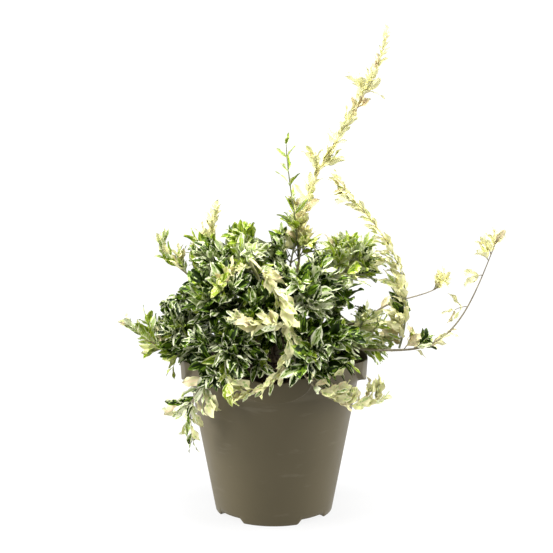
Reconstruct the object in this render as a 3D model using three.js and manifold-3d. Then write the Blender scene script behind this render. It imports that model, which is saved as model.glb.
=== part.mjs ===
// Harlequin wintercreeper: a low variegated shrub with long shoots, in a two-litre plastic nursery pot.
// Millimetres, +Z up. The origin is the middle of the pot's underside, and the plant's front faces -Y.
import * as THREE from "three";
import { mergeVertices } from "three/addons/utils/BufferGeometryUtils.js";
import Module from "manifold-3d";

const wasm = await Module();
wasm.setup();

const { lerp, clamp, degToRad } = THREE.MathUtils;
const UP = new THREE.Vector3(0, 0, 1);
const QUARTERS = [0, 90, 180, 270];

// Driving dimensions of the pot. The rim is a circle cut by four flats, so that it has four round corners.
const POT_HEIGHT = 148;
const FOOT_RADIUS = 53.4;
const FLAT_RADIUS = 77.5; // from the axis to each flat of the rim
const CORNER_RADIUS = 85.5; // from the axis to each corner of the rim
const TAPER_HEIGHT = 130; // the cone reaches the flats here
const FLARE_START = 124; // above this the round wall turns into the rim's outline
const FLARE_INSET = 0.4; // the flared wall stays this far inside the corner lugs
const POT_WALL = 1.5;
const POT_SIDES = 36;

// Each corner carries a lug: a raised panel with a rounded lower edge, under a rim that dips a little.
const LUG_HALF_WIDTH = 37;
const LUG_DEPTH = 22;
const LUG_TOP = 146;
const LUG_DRAFT = 1.5;
const RIM_DIP = 4.5;
const RIM_DIP_HALF_WIDTH = 30;

// Four drainage channels cross the underside and leave four feet between them.
const CHANNEL_HEIGHT = 4.2;
const CHANNEL_HALF_WIDTH = 13;
const CHANNEL_SLANT = 4;
const CHANNEL_START = 22;
const FEET_TURN = -3.4; // the feet aren't quite in line with the lugs
const DRAIN_RADIUS = 4;
const DRAIN_DISTANCE = 37;

const COLOURS = {
  pot: 0x7b7361,
  soil: 0x2a1d14,
  bark: 0x6b5a3c,
  bough: 0x67743a,
  bush: 0x54702f,
  shoot: 0xdfdc9b,
};

const GAP = 0.35; // between solids that touch on the real plant
const SLIVER = 0.02; // detail finer than this is dropped where solids are joined
const SOIL_EDGE = 139;
const SOIL_CROWN = 141;
const SOIL_CROWN_RADIUS = 14;

// The short woody trunk, and the rings on it where limbs start.
const TRUNK_BASE = SOIL_CROWN + GAP;
const TRUNK_HEIGHT = 26;
const TRUNK_RADIUS = 6;
const TRUNK_FLARE_RADIUS = 10;
const TRUNK_HEAD_RADIUS = 7.2;
const TRUNK_SIDES = 12;
const TRUNK_LEAN = 0.05; // sideways for each millimetre up
const LOW_RING = { height: 8, rise: degToRad(18) };
const MIDDLE_RING = { height: 16, rise: degToRad(48) };
const TOP_RING = { radius: 5.2, rise: degToRad(71) };

const LIMB_RADIUS = 1.7;
const LIMB_TIP_RADIUS = 1.1;
const STEM_TIP_RADIUS = 0.8;
const TWIG_RADIUS = 1;
const TWIG_TIP_RADIUS = 0.65;
const LIMB_SIDES = 5;
const STEM_SIDES = 4;
const TWIG_SIDES = 3;
const BOUGH_SHARE = 0.55; // of the way from the trunk to the middle of its mass
const BOUGH_BEND = 0.35; // how far along each end of a bough its bend point lies

const LEAF_THICKNESS = 0.9;
const LEAF_SHAPE = 0.5; // width over length
const LEAF_WIDEST = 0.45; // share of the length from the root
const ROOT_OFFSET = 0.05; // a leaf's root starts this far past the twig's axis
const TIP_SHARE = 0.94; // the last leaves sit this far along their twig
const LEAF_LEAN = [1.15, 0.65]; // from the twig, at its foot and at its tip
const LEAF_ROLL = 1.4; // the most that two leaves' faces differ
const OUTWARD_PULL = 0.3; // how far leaves turn away from the bush's heart
const PAIR_CROWDING = 0.85; // below 1, pairs stand closer towards the tip
const LEAF_SCALES = [1, 0.82]; // a leaf that doesn't fit is tried once more, smaller
const GOLDEN_ANGLE = degToRad(137.5);

// The rounded bush: a box with round sides, from a little above the mix up to the leaf tips.
const BUSH_HALF_WIDTH = 102;
const BUSH_HALF_DEPTH = 98;
const BUSH_BASE = 150;
const BUSH_HEIGHT = 112;
const BUSH_HEART = new THREE.Vector3(0, 0, BUSH_BASE);

// Its masses of leaves. Each fills the space round its own centre, halfway to the next ones.
const MASS_REACH = 48;
const MASS_CORE = 33; // a mass reaches this far even outside the bush's outline
const MASS_LEAF = 30;
const MASS_TWIGS = 6;
const MASS_TWIG_SHARES = [0.25, 0.85]; // where the first and the last twig leave the mass's stem
const MASS_TWIG_LEAN = [1.4, 0.9]; // from the stem, at its foot and at its tip
const TWIG_LENGTHS = [MASS_REACH * 0.7, 5]; // the longest and the shortest
const TWIG_SHORTENING = 0.88; // a twig that doesn't fit is tried again at this share
const TWIG_BEND_SHARE = 0.55;
const TWIG_LIFT = 0.18; // a twig's end rises by this share of its length
const MASS_LEAF_SHARE = 0.45; // how far a leaf stands past its twig's end
const MASSES = [
  { name: "front_middle", ring: MIDDLE_RING, at: [-6, -52, 190] },
  { name: "front_left", ring: MIDDLE_RING, at: [-46, -42, 204] },
  { name: "front_right", ring: MIDDLE_RING, at: [28, -44, 212] },
  { name: "front_low_left", ring: LOW_RING, at: [-38, -68, 169] },
  { name: "front_low_right", ring: LOW_RING, at: [36, -68, 170] },
  { name: "left_low", ring: LOW_RING, at: [-76, -22, 166] },
  { name: "left_middle", ring: MIDDLE_RING, at: [-74, 8, 194] },
  { name: "left_upper", ring: TOP_RING, at: [-53, -3, 228] },
  { name: "top_left", ring: TOP_RING, at: [-24, -6, 240] },
  { name: "top_right", ring: TOP_RING, at: [16, 2, 234] },
  { name: "right_upper", ring: TOP_RING, at: [66, -5, 230] },
  { name: "right_middle", ring: MIDDLE_RING, at: [62, -14, 196] },
  { name: "right_low", ring: LOW_RING, at: [78, -8, 165] },
  { name: "back_low_left", ring: LOW_RING, at: [-60, 48, 169] },
  { name: "back_low", ring: LOW_RING, at: [-4, 74, 170] },
  { name: "back_low_right", ring: LOW_RING, at: [56, 52, 169] },
  { name: "back_left", ring: MIDDLE_RING, at: [-34, 40, 220] },
  { name: "back_right", ring: MIDDLE_RING, at: [36, 40, 218] },
];

// The long shoots that leave the bush. Each is a bough inside the bush and a leafy stem on four bend points.
const SHOOTS = [
  {
    name: "tall",
    ring: TOP_RING,
    bend: [[23, 14, 238], [12, 20, 320], [84, 28, 357], [101, 35, 434]],
    leaf: 19,
    pairs: 12,
  },
  {
    name: "upright_green",
    from: "tall",
    share: 0.93,
    bend: [[17, 8, 238], [21, -4, 273], [12, -2, 309], [11, -5, 341]],
    leaf: 16,
    pairs: 6,
  },
  {
    name: "right_long",
    ring: LOW_RING,
    bend: [[116, -26, 158], [165, -20, 158], [177, -18, 200], [200, -10, 258]],
    leaf: 17,
    pairs: 7,
  },
  {
    name: "right_arching",
    from: "right_long",
    share: 0.97,
    bend: [[117, -22, 163], [124, -22, 226], [99, -23, 258], [63, -25, 304]],
    leaf: 19,
    pairs: 11,
  },
  {
    name: "right_short",
    ring: MIDDLE_RING,
    bend: [[92, 18, 180], [106, 18, 195], [135, 22, 192], [154, 25, 205]],
    leaf: 15,
    pairs: 4,
  },
  {
    name: "left_low",
    ring: LOW_RING,
    bend: [[-92, -12, 152], [-109, -17, 159], [-121, -18, 172], [-133, -20, 181]],
    leaf: 20,
    pairs: 5,
  },
  {
    name: "left_upper",
    ring: TOP_RING,
    bend: [[-76, 8, 217], [-85, 8, 228], [-105, 8, 234], [-98, 10, 250]],
    leaf: 18,
    pairs: 5,
  },
  {
    name: "pale_upright",
    ring: MIDDLE_RING,
    bend: [[-57, 36, 222], [-59, 40, 240], [-55, 42, 255], [-53, 44, 270]],
    leaf: 14,
    pairs: 5,
  },
  {
    name: "front_hanging",
    ring: TOP_RING,
    bend: [[-14, -66, 246], [15, -92, 222], [34, -98, 153], [-25, -104, 140]],
    leaf: 20,
    pairs: 10,
  },
  {
    name: "front_right_hanging",
    ring: LOW_RING,
    bend: [[25, -86, 156], [39, -92, 133], [70, -70, 110], [97, -46, 118]],
    leaf: 18,
    pairs: 7,
  },
  {
    name: "left_hanging",
    ring: LOW_RING,
    bend: [[-58, -66, 150], [-74, -68, 125], [-76, -62, 107], [-72, -56, 84]],
    leaf: 20,
    pairs: 6,
  },
];

// Small helpers

// A repeatable random number from 0 to 1 for each call.
function seeded(seed) {
  let state = seed;
  return () => {
    state = (state + 0x6d2b79f5) | 0;
    let mixed = Math.imul(state ^ (state >>> 15), 1 | state);
    mixed = (mixed + Math.imul(mixed ^ (mixed >>> 7), 61 | mixed)) ^ mixed;
    return ((mixed ^ (mixed >>> 14)) >>> 0) / 4294967296;
  };
}

const vector = (place) => new THREE.Vector3(...place);

// A direction at an angle to `along`, turned round it.
function branchOff(along, turn, lean) {
  const level = Math.abs(along.z) > 0.95 ? new THREE.Vector3(1, 0, 0) : UP;
  const side = new THREE.Vector3().crossVectors(along, level).normalize();
  side.applyAxisAngle(along, turn);
  return side.multiplyScalar(Math.sin(lean)).addScaledVector(along, Math.cos(lean)).normalize();
}

function solidOf(geometry) {
  const bare = geometry.clone();
  bare.deleteAttribute("normal");
  bare.deleteAttribute("uv");
  const merged = mergeVertices(bare, 1e-3);
  return new wasm.Manifold(
    new wasm.Mesh({
      numProp: 3,
      vertProperties: merged.attributes.position.array,
      triVerts: new Uint32Array(merged.index.array),
    }),
  );
}

function geometryOf(solid) {
  const mesh = solid.getMesh();
  const geometry = new THREE.BufferGeometry();
  geometry.setAttribute("position", new THREE.BufferAttribute(mesh.vertProperties, 3));
  geometry.setIndex(new THREE.BufferAttribute(mesh.triVerts, 1));
  geometry.computeVertexNormals();
  return geometry;
}

// Joins solids, drops the slivers where they cross, and keeps the largest body, with no loose scrap.
function fuse(solids) {
  const bodies = wasm.Manifold.union(solids).asOriginal().simplify(SLIVER).decompose();
  return bodies.reduce((largest, body) => (body.volume() > largest.volume() ? body : largest));
}

function lathe(profile, sides) {
  const points = profile.map(([radius, height]) => new THREE.Vector2(radius, height));
  return new THREE.LatheGeometry(points, sides).rotateX(Math.PI / 2);
}

// A straight prism of an outline drawn in (across, height), that runs outwards from the axis at an angle.
function radialPrism(shape, start, length, angle) {
  const geometry = new THREE.ExtrudeGeometry(shape, { depth: length, bevelEnabled: false, curveSegments: 7 });
  geometry.translate(0, 0, start);
  const across = new THREE.Vector3(0, 1, 0);
  const outwards = new THREE.Vector3(1, 0, 0);
  geometry.applyMatrix4(new THREE.Matrix4().makeBasis(across, UP, outwards));
  return solidOf(geometry.rotateZ(degToRad(angle)));
}

// A tapering limb: a cylinder bent along a curve.
function limb(curve, startRadius, endRadius, sides, steps) {
  const frames = curve.computeFrenetFrames(steps, false);
  const geometry = new THREE.CylinderGeometry(1, 1, 1, sides, steps);
  const position = geometry.attributes.position;
  for (let i = 0; i < position.count; i++) {
    const step = Math.round((position.getY(i) + 0.5) * steps);
    const radius = lerp(startRadius, endRadius, step / steps);
    const point = curve.getPointAt(step / steps);
    point.addScaledVector(frames.normals[step], position.getX(i) * radius);
    point.addScaledVector(frames.binormals[step], -position.getZ(i) * radius);
    position.setXYZ(i, point.x, point.y, point.z);
  }
  return solidOf(geometry);
}

// The pot

// The rim's outline: the distance from the axis at an angle, with corners at 0, 90, 180 and 270 degrees.
function rimRadius(angle) {
  const quarter = Math.PI / 2;
  const fromCorner = Math.abs(angle - Math.round(angle / quarter) * quarter);
  return Math.min(CORNER_RADIUS, FLAT_RADIUS / Math.cos(quarter / 2 - fromCorner));
}

const coneRadius = (height) => lerp(FOOT_RADIUS, FLAT_RADIUS, Math.min(height / TAPER_HEIGHT, 1));

// The round wall filled in, flared to the rim's outline near its top. The inset makes the room inside it.
function wallBlock(inset, bottom, top) {
  const heights = [bottom, FLARE_START, lerp(FLARE_START, POT_HEIGHT, 0.5), POT_HEIGHT, top];
  const rows = heights.filter((height, i) => i === 0 || height > heights[i - 1]);
  const profile = [[0, bottom], ...rows.map((height) => [coneRadius(height) - inset, height]), [0, top]];
  const geometry = lathe(profile, POT_SIDES);
  const position = geometry.attributes.position;
  for (let i = 0; i < position.count; i++) {
    const [x, y, z] = [position.getX(i), position.getY(i), position.getZ(i)];
    const radius = Math.hypot(x, y);
    const share = clamp((z - FLARE_START) / (POT_HEIGHT - FLARE_START), 0, 1);
    if (radius < 1 || share === 0) continue;
    const rim = rimRadius(Math.atan2(y, x)) - FLARE_INSET - inset;
    const scale = lerp(radius, rim, share) / radius;
    position.setXYZ(i, x * scale, y * scale, z);
  }
  return solidOf(geometry);
}

// The four lugs filled in: the corners of the rim's outline, behind a rounded panel's edge.
function lugBlocks(inset, top) {
  const bottom = LUG_TOP - LUG_DEPTH;
  const round = solidOf(
    lathe(
      [
        [0, bottom],
        [CORNER_RADIUS - LUG_DRAFT - inset, bottom],
        [CORNER_RADIUS - inset, POT_HEIGHT],
        [CORNER_RADIUS - inset, top],
        [0, top],
      ],
      POT_SIDES,
    ),
  );
  const side = 2 * (FLAT_RADIUS - inset);
  const square = solidOf(new THREE.BoxGeometry(side, side, 2 * top).rotateZ(Math.PI / 4));
  const panel = new THREE.Shape();
  panel.absellipse(0, LUG_TOP, LUG_HALF_WIDTH - inset, LUG_DEPTH - inset, Math.PI, 2 * Math.PI);
  panel.lineTo(LUG_HALF_WIDTH - inset, top);
  panel.lineTo(inset - LUG_HALF_WIDTH, top);
  const panels = QUARTERS.map((angle) => radialPrism(panel, FOOT_RADIUS, CORNER_RADIUS, angle));
  return round.intersect(square).intersect(wasm.Manifold.union(panels));
}

// What the dips in the rim take away.
function rimDips() {
  const above = POT_HEIGHT + RIM_DIP;
  const outline = [new THREE.Vector2(-RIM_DIP_HALF_WIDTH, above)];
  const steps = 6;
  for (let i = 0; i <= steps; i++) {
    const share = (2 * i) / steps - 1;
    const depth = RIM_DIP * Math.cos((share * Math.PI) / 2) ** 2;
    outline.push(new THREE.Vector2(share * RIM_DIP_HALF_WIDTH, POT_HEIGHT - depth));
  }
  outline.push(new THREE.Vector2(RIM_DIP_HALF_WIDTH, above));
  const dip = new THREE.Shape(outline);
  return QUARTERS.map((angle) => radialPrism(dip, FOOT_RADIUS, CORNER_RADIUS, angle));
}

// The four channels under the floor, grown by a wall's thickness where they are seen from inside.
function channels(growth) {
  const halfWidth = CHANNEL_HALF_WIDTH + growth;
  const bottom = -1;
  const channel = new THREE.Shape();
  channel.moveTo(-halfWidth - CHANNEL_SLANT, bottom);
  channel.lineTo(halfWidth + CHANNEL_SLANT, bottom);
  channel.lineTo(halfWidth, CHANNEL_HEIGHT + growth);
  channel.lineTo(-halfWidth, CHANNEL_HEIGHT + growth);
  const start = CHANNEL_START - growth;
  return QUARTERS.map((angle) => radialPrism(channel, start, FOOT_RADIUS, angle + 45 + FEET_TURN));
}

function drainHoles() {
  return QUARTERS.map((angle) => {
    const hole = new THREE.CylinderGeometry(DRAIN_RADIUS, DRAIN_RADIUS, 4 * CHANNEL_HEIGHT, 10);
    hole.rotateX(Math.PI / 2).translate(DRAIN_DISTANCE, 0, 0);
    return solidOf(hole.rotateZ(degToRad(angle + 45 + FEET_TURN)));
  });
}

function pot() {
  const above = POT_HEIGHT + 2 * RIM_DIP;
  const outside = wallBlock(0, 0, POT_HEIGHT).add(lugBlocks(0, POT_HEIGHT));
  const wallInside = wallBlock(POT_WALL, POT_WALL, above);
  const inside = wallInside.add(lugBlocks(POT_WALL, above));
  const room = inside.subtract(wasm.Manifold.union(channels(POT_WALL)));
  const cuts = wasm.Manifold.union([room, ...channels(0), ...rimDips(), ...drainHoles()]);
  return fuse([outside.subtract(cuts)]);
}

// The potting mix fills the pot above the channels, and is a little higher round the trunk.
function pottingMix() {
  const bottom = CHANNEL_HEIGHT + POT_WALL + GAP;
  const inset = POT_WALL + FLARE_INSET + GAP;
  const room = (height) => coneRadius(height) - inset;
  const profile = [
    [0, bottom],
    [room(bottom), bottom],
    [room(FLARE_START), FLARE_START],
    [room(SOIL_EDGE), SOIL_EDGE],
    [SOIL_CROWN_RADIUS, SOIL_CROWN],
    [0, SOIL_CROWN],
  ];
  return solidOf(lathe(profile, POT_SIDES / 2));
}

// The trunk and its boughs

const trunkAxis = (height) => new THREE.Vector3(TRUNK_LEAN * height, 0, TRUNK_BASE + height);

// The trunk's radius by height: a root flare, a waist and a knobbly head that the limbs leave.
const TRUNK_PROFILE = [
  [TRUNK_FLARE_RADIUS, 0],
  [TRUNK_RADIUS + 1.4, 2.5],
  [TRUNK_RADIUS + 0.3, 6],
  [TRUNK_RADIUS, 18],
  [TRUNK_HEAD_RADIUS, 23],
  [TRUNK_HEAD_RADIUS - 0.3, TRUNK_HEIGHT],
];

function trunk() {
  const geometry = lathe([[0, 0], ...TRUNK_PROFILE, [0, TRUNK_HEIGHT]], TRUNK_SIDES);
  const position = geometry.attributes.position;
  for (let i = 0; i < position.count; i++) {
    const place = trunkAxis(position.getZ(i));
    position.setXYZ(i, position.getX(i) + place.x, position.getY(i), place.z);
  }
  return solidOf(geometry);
}

// Where a limb leaves the trunk's side or its top, and which way.
function socket(ring, turn) {
  const out = new THREE.Vector3(Math.cos(turn), Math.sin(turn), 0);
  const direction = out.clone().multiplyScalar(Math.cos(ring.rise)).setZ(Math.sin(ring.rise));
  if (ring === TOP_RING) {
    const height = TRUNK_HEIGHT + GAP + LIMB_RADIUS * Math.cos(ring.rise);
    return { place: trunkAxis(height).addScaledVector(out, ring.radius), direction };
  }
  const distance = TRUNK_RADIUS + 2 * GAP + LIMB_RADIUS * Math.sin(ring.rise);
  return { place: trunkAxis(ring.height).addScaledVector(out, distance), direction };
}

// Gives every limb its own place on the trunk. Those of one ring are spread evenly, in the order of bearing.
function assignSockets(boughs) {
  for (const ring of [LOW_RING, MIDDLE_RING, TOP_RING]) {
    const members = boughs.filter((bough) => bough.ring === ring);
    members.sort((a, b) => a.bearing - b.bearing);
    const step = (2 * Math.PI) / members.length;
    const offset = members.reduce((sum, bough, i) => sum + bough.bearing - i * step, 0) / members.length;
    members.forEach((bough, i) => Object.assign(bough, socket(ring, offset + i * step)));
  }
}

function boughCurve({ place, direction, tip, heading }) {
  const bend = place.distanceTo(tip) * BOUGH_BEND;
  const leave = place.clone().addScaledVector(direction, bend);
  const arrive = tip.clone().addScaledVector(heading, -bend);
  return new THREE.CubicBezierCurve3(place, leave, arrive, tip);
}

// Where a shoot that leaves the side of another limb starts, just clear of that limb.
function sideStart(limbCurve, share, towards) {
  const place = limbCurve.getPointAt(share);
  const along = limbCurve.getTangentAt(share);
  const heading = towards.clone().sub(place).normalize();
  const lean = Math.abs(heading.dot(along));
  const side = heading.addScaledVector(along, -heading.dot(along)).normalize();
  return place.addScaledVector(side, LIMB_TIP_RADIUS * (1 + lean) + GAP);
}

// The space that each piece of foliage keeps to

function samplesOf(curve, startRadius, endRadius, owner) {
  const count = Math.ceil(curve.getLength() / 2.5);
  const samples = [];
  for (let i = 0; i <= count; i++) {
    const radius = lerp(startRadius, endRadius, i / count);
    samples.push({ point: curve.getPointAt(i / count), radius, owner });
  }
  return samples;
}

function distanceToSegment(point, start, end) {
  const line = new THREE.Line3(start, end);
  return line.closestPointToPoint(point, true, new THREE.Vector3()).distanceTo(point);
}

// True where a piece with these points keeps clear of the pot and the mix in it.
function clearOfPot(points) {
  if (points.every((point) => point.z > POT_HEIGHT + 1)) return true;
  const radii = points.map((point) => Math.hypot(point.x, point.y));
  if (radii.every((radius) => radius > CORNER_RADIUS + 1)) return true;
  const inside = (point, i) => point.z > SOIL_CROWN + 1 && radii[i] < FLAT_RADIUS - POT_WALL - 2;
  if (points.every(inside)) return true;
  const wall = (point) => rimRadius(Math.atan2(point.y, point.x));
  return points.every((point, i) => radii[i] > wall(point) + 1.5);
}

function clearOfLimbs(start, end, halfWidth, owner, limbs) {
  return limbs.every(
    (sample) =>
      sample.owner === owner ||
      distanceToSegment(sample.point, start, end) > sample.radius + halfWidth + GAP,
  );
}

function insideBush(point) {
  const share = (distance, size) => Math.pow(Math.abs(distance) / size, 3);
  const height = Math.max(point.z - BUSH_BASE, 0);
  return share(point.x, BUSH_HALF_WIDTH) + share(point.y, BUSH_HALF_DEPTH) + share(height, BUSH_HEIGHT) < 1;
}

// True where a point lies in a mass's own space: near it, and on its side of the planes between masses.
function insideMass(point, mass) {
  const distance = point.distanceTo(mass.centre);
  if (distance > MASS_REACH || (distance > MASS_CORE && !insideBush(point))) return false;
  return MASSES.every((other) => {
    if (other === mass) return true;
    const apart = other.centre.distanceTo(mass.centre);
    const further = point.distanceToSquared(other.centre) - distance * distance;
    return further / (2 * apart) > GAP;
  });
}

function nearestOnShoot(point, shoot) {
  return Math.min(...shoot.samples.map((sample) => sample.point.distanceTo(point)));
}

// True where a point lies in a shoot's own sleeve and nearer to that shoot than to any other.
function insideShoot(point, shoot) {
  const own = nearestOnShoot(point, shoot);
  if (own > shoot.leaf) return false;
  return SHOOTS.every((other) => other === shoot || nearestOnShoot(point, other) > own + 2 * GAP);
}

// Leaves

// A leaf of eight faces: an octahedron drawn out to a root and a tip.
function leafSolid(leaf) {
  const geometry = new THREE.OctahedronGeometry(1);
  const position = geometry.attributes.position;
  const face = leaf.face.clone();
  const across = new THREE.Vector3().crossVectors(face, leaf.direction).normalize();
  for (let i = 0; i < position.count; i++) {
    const [x, y, z] = [position.getX(i), position.getY(i), position.getZ(i)];
    const share = x > 0.5 ? 1 : x < -0.5 ? 0 : LEAF_WIDEST;
    const point = leaf.root.clone().addScaledVector(leaf.direction, share * leaf.length);
    point.addScaledVector(across, (y * leaf.width) / 2);
    point.addScaledVector(face, (z * LEAF_THICKNESS) / 2);
    position.setXYZ(i, point.x, point.y, point.z);
  }
  return solidOf(geometry);
}

function leafPoints(leaf) {
  const across = new THREE.Vector3().crossVectors(leaf.face, leaf.direction).normalize();
  const middle = leaf.root.clone().addScaledVector(leaf.direction, LEAF_WIDEST * leaf.length);
  const tip = leaf.root.clone().addScaledVector(leaf.direction, leaf.length);
  const half = leaf.width / 2 + 0.2;
  return [
    middle.clone().addScaledVector(across, half),
    middle.clone().addScaledVector(across, -half),
    tip,
    middle,
  ];
}

// One leaf of a pair. It turns its upper face outwards and to the sky.
function leafAt(place, along, turn, lean, length, roll) {
  const outwards = place.clone().sub(BUSH_HEART).normalize();
  const direction = branchOff(along, turn, lean).addScaledVector(outwards, OUTWARD_PULL).normalize();
  const face = outwards.addScaledVector(UP, 0.5).addScaledVector(along, 0.5);
  face.addScaledVector(direction, -face.dot(direction)).normalize().applyAxisAngle(direction, roll);
  const root = place.clone().addScaledVector(direction, ROOT_OFFSET);
  return { root, direction, face, length, width: length * LEAF_SHAPE };
}

// Pairs of leaves along a twig, each pair crossing the one before, closer and more upright towards the tip.
function leavesAlong(curve, pairs, start, length, random) {
  const leaves = [];
  const firstTurn = random() * Math.PI;
  for (let i = 0; i < pairs; i++) {
    const share = start + (TIP_SHARE - start) * Math.pow((i + 0.5) / (pairs - 0.5), PAIR_CROWDING);
    const place = curve.getPointAt(Math.min(share, TIP_SHARE));
    const along = curve.getTangentAt(Math.min(share, TIP_SHARE));
    const size = length * lerp(1, 0.75, i / pairs) * lerp(0.88, 1.12, random());
    for (const half of [0, Math.PI]) {
      const turn = firstTurn + i * (Math.PI / 2) + half + (random() - 0.5) * 0.5;
      const lean = lerp(...LEAF_LEAN, share) + (random() - 0.5) * 0.3;
      leaves.push(leafAt(place, along, turn, lean, size, (random() - 0.5) * LEAF_ROLL));
    }
  }
  return leaves;
}

// A leaf at the larger of two sizes that keeps to its space, clear of the solids grown before it, and
// crosses nothing of its own mass. Where neither size does, there is no leaf.
function placeLeaf(leaf, fits, grown, own) {
  for (const scale of LEAF_SCALES) {
    const smaller = { ...leaf, length: leaf.length * scale, width: leaf.width * scale };
    if (!fits(smaller, leafPoints(smaller))) continue;
    const solid = leafSolid(smaller);
    const clear = grown.every((other) => solid.minGap(other, GAP) > GAP * 0.9);
    if (clear && own.every((other) => solid.intersect(other).isEmpty())) return { leaf: smaller, solid };
  }
  return null;
}

// Foliage

// One twig off a stem, bending up as it goes. It is shortened until it keeps to its space.
function twigCurve(stem, share, turn, lean, fits) {
  const place = stem.getPointAt(share);
  const direction = branchOff(stem.getTangentAt(share), turn, lean);
  const [longest, shortest] = TWIG_LENGTHS;
  for (let length = longest; length > shortest; length *= TWIG_SHORTENING) {
    const bend = place.clone().addScaledVector(direction, length * TWIG_BEND_SHARE);
    const end = place.clone().addScaledVector(direction, length).addScaledVector(UP, length * TWIG_LIFT);
    const leafTip = end.clone().addScaledVector(direction, MASS_LEAF * MASS_LEAF_SHARE);
    if (fits(place.clone().lerp(end, 0.3), end, leafTip)) {
      return new THREE.QuadraticBezierCurve3(place, bend, end);
    }
  }
  return null;
}

function growMass(mass, limbs, grown) {
  const random = seeded(mass.seed);
  const fitsTwig = (start, end, leafTip) =>
    insideMass(leafTip, mass) &&
    clearOfPot([start, end]) &&
    clearOfLimbs(start, end, TWIG_RADIUS, mass.name, limbs);
  const fitsLeaf = (leaf, points) =>
    points.every((point) => insideMass(point, mass)) &&
    clearOfPot(points) &&
    clearOfLimbs(leaf.root, points[2], leaf.width / 2, mass.name, limbs);
  const twigs = [mass.stem];
  const wood = [limb(mass.stem, LIMB_TIP_RADIUS, STEM_TIP_RADIUS, STEM_SIDES, 3)];
  for (let i = 0; i < MASS_TWIGS; i++) {
    const share = lerp(...MASS_TWIG_SHARES, i / (MASS_TWIGS - 1));
    const turn = i * GOLDEN_ANGLE + random();
    const twig = twigCurve(mass.stem, share, turn, lerp(...MASS_TWIG_LEAN, share), fitsTwig);
    if (!twig) continue;
    twigs.push(twig);
    wood.push(limb(twig, TWIG_RADIUS, TWIG_TIP_RADIUS, TWIG_SIDES, 2));
  }
  const leaves = [];
  twigs.forEach((twig, i) => {
    const otherWood = wood.filter((_, j) => j !== i);
    const pairs = clamp(Math.round(twig.getLength() / 8), 2, 4);
    for (const leaf of leavesAlong(twig, pairs, 0.35, MASS_LEAF, random)) {
      const placed = placeLeaf(leaf, fitsLeaf, grown, [...otherWood, ...leaves]);
      if (placed) leaves.push(placed.solid);
    }
  });
  return fuse([...wood, ...leaves]);
}

// A shoot's leaves count as limbs for what grows after it, so that the bush keeps clear of them.
function growShoot(shoot, limbs, grown) {
  const random = seeded(shoot.seed);
  const steps = Math.ceil(shoot.curve.getLength() / 18);
  const stem = limb(shoot.curve, LIMB_TIP_RADIUS, STEM_TIP_RADIUS, STEM_SIDES, steps);
  const leaves = [];
  const fitsLeaf = (leaf, points) =>
    points.every((point) => insideShoot(point, shoot)) &&
    clearOfPot(points) &&
    clearOfLimbs(leaf.root, points[2], leaf.width / 2, shoot.name, limbs);
  for (const leaf of leavesAlong(shoot.curve, shoot.pairs, 0.04, shoot.leaf, random)) {
    const placed = placeLeaf(leaf, fitsLeaf, grown, leaves);
    if (!placed) continue;
    leaves.push(placed.solid);
    const { root, direction, length, width } = placed.leaf;
    for (const share of [0.2, 0.5, 0.8, 1]) {
      const point = root.clone().addScaledVector(direction, share * length);
      shoot.leafSamples.push({ point, radius: width * 0.35, owner: shoot.name });
    }
  }
  return fuse([stem, ...leaves]);
}

// Putting the plant together

// Each mass's stem goes on from its bough, through the middle of the mass and up.
function massBough(mass) {
  const trunkTop = trunkAxis(TRUNK_HEIGHT);
  const heading = mass.centre.clone().sub(trunkTop).normalize();
  const tip = trunkTop.lerp(mass.centre, BOUGH_SHARE);
  const start = tip.clone().addScaledVector(heading, GAP);
  const end = mass.centre.clone().addScaledVector(heading, MASS_CORE * 0.35).addScaledVector(UP, 4);
  mass.stem = new THREE.QuadraticBezierCurve3(start, mass.centre, end);
  return { name: "bough_" + mass.name, ring: mass.ring, tip, heading };
}

function shootBough(shoot) {
  const heading = shoot.curve.getTangentAt(0);
  const tip = shoot.curve.getPointAt(0).addScaledVector(heading, -GAP);
  return { name: "shoot_bough_" + shoot.name, ring: shoot.ring, tip, heading };
}

function layOut() {
  for (const mass of MASSES) mass.centre = vector(mass.at);
  for (const shoot of SHOOTS) shoot.curve = new THREE.CubicBezierCurve3(...shoot.bend.map(vector));
  const boughs = [...MASSES.map(massBough), ...SHOOTS.filter((shoot) => shoot.ring).map(shootBough)];
  for (const bough of boughs) bough.bearing = Math.atan2(bough.tip.y, bough.tip.x);
  assignSockets(boughs);
  for (const bough of boughs) bough.curve = boughCurve(bough);
  for (const shoot of SHOOTS.filter((shoot) => shoot.from)) {
    const carrier = boughs.find((bough) => bough.name === "shoot_bough_" + shoot.from);
    shoot.curve.v0 = sideStart(carrier.curve, shoot.share, shoot.curve.v1);
  }
  for (const shoot of SHOOTS) {
    shoot.samples = samplesOf(shoot.curve, LIMB_TIP_RADIUS, STEM_TIP_RADIUS, shoot.name);
    shoot.leafSamples = [];
  }
  return boughs;
}

const plant = new THREE.Group();

function add(name, solid, colour, roughness) {
  const material = new THREE.MeshStandardMaterial({ color: colour, roughness, metalness: 0 });
  const mesh = new THREE.Mesh(geometryOf(solid), material);
  mesh.name = name;
  plant.add(mesh);
}

add("pot", pot(), COLOURS.pot, 0.45);
add("potting_mix", pottingMix(), COLOURS.soil, 0.95);
add("trunk", trunk(), COLOURS.bark, 0.85);

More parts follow.
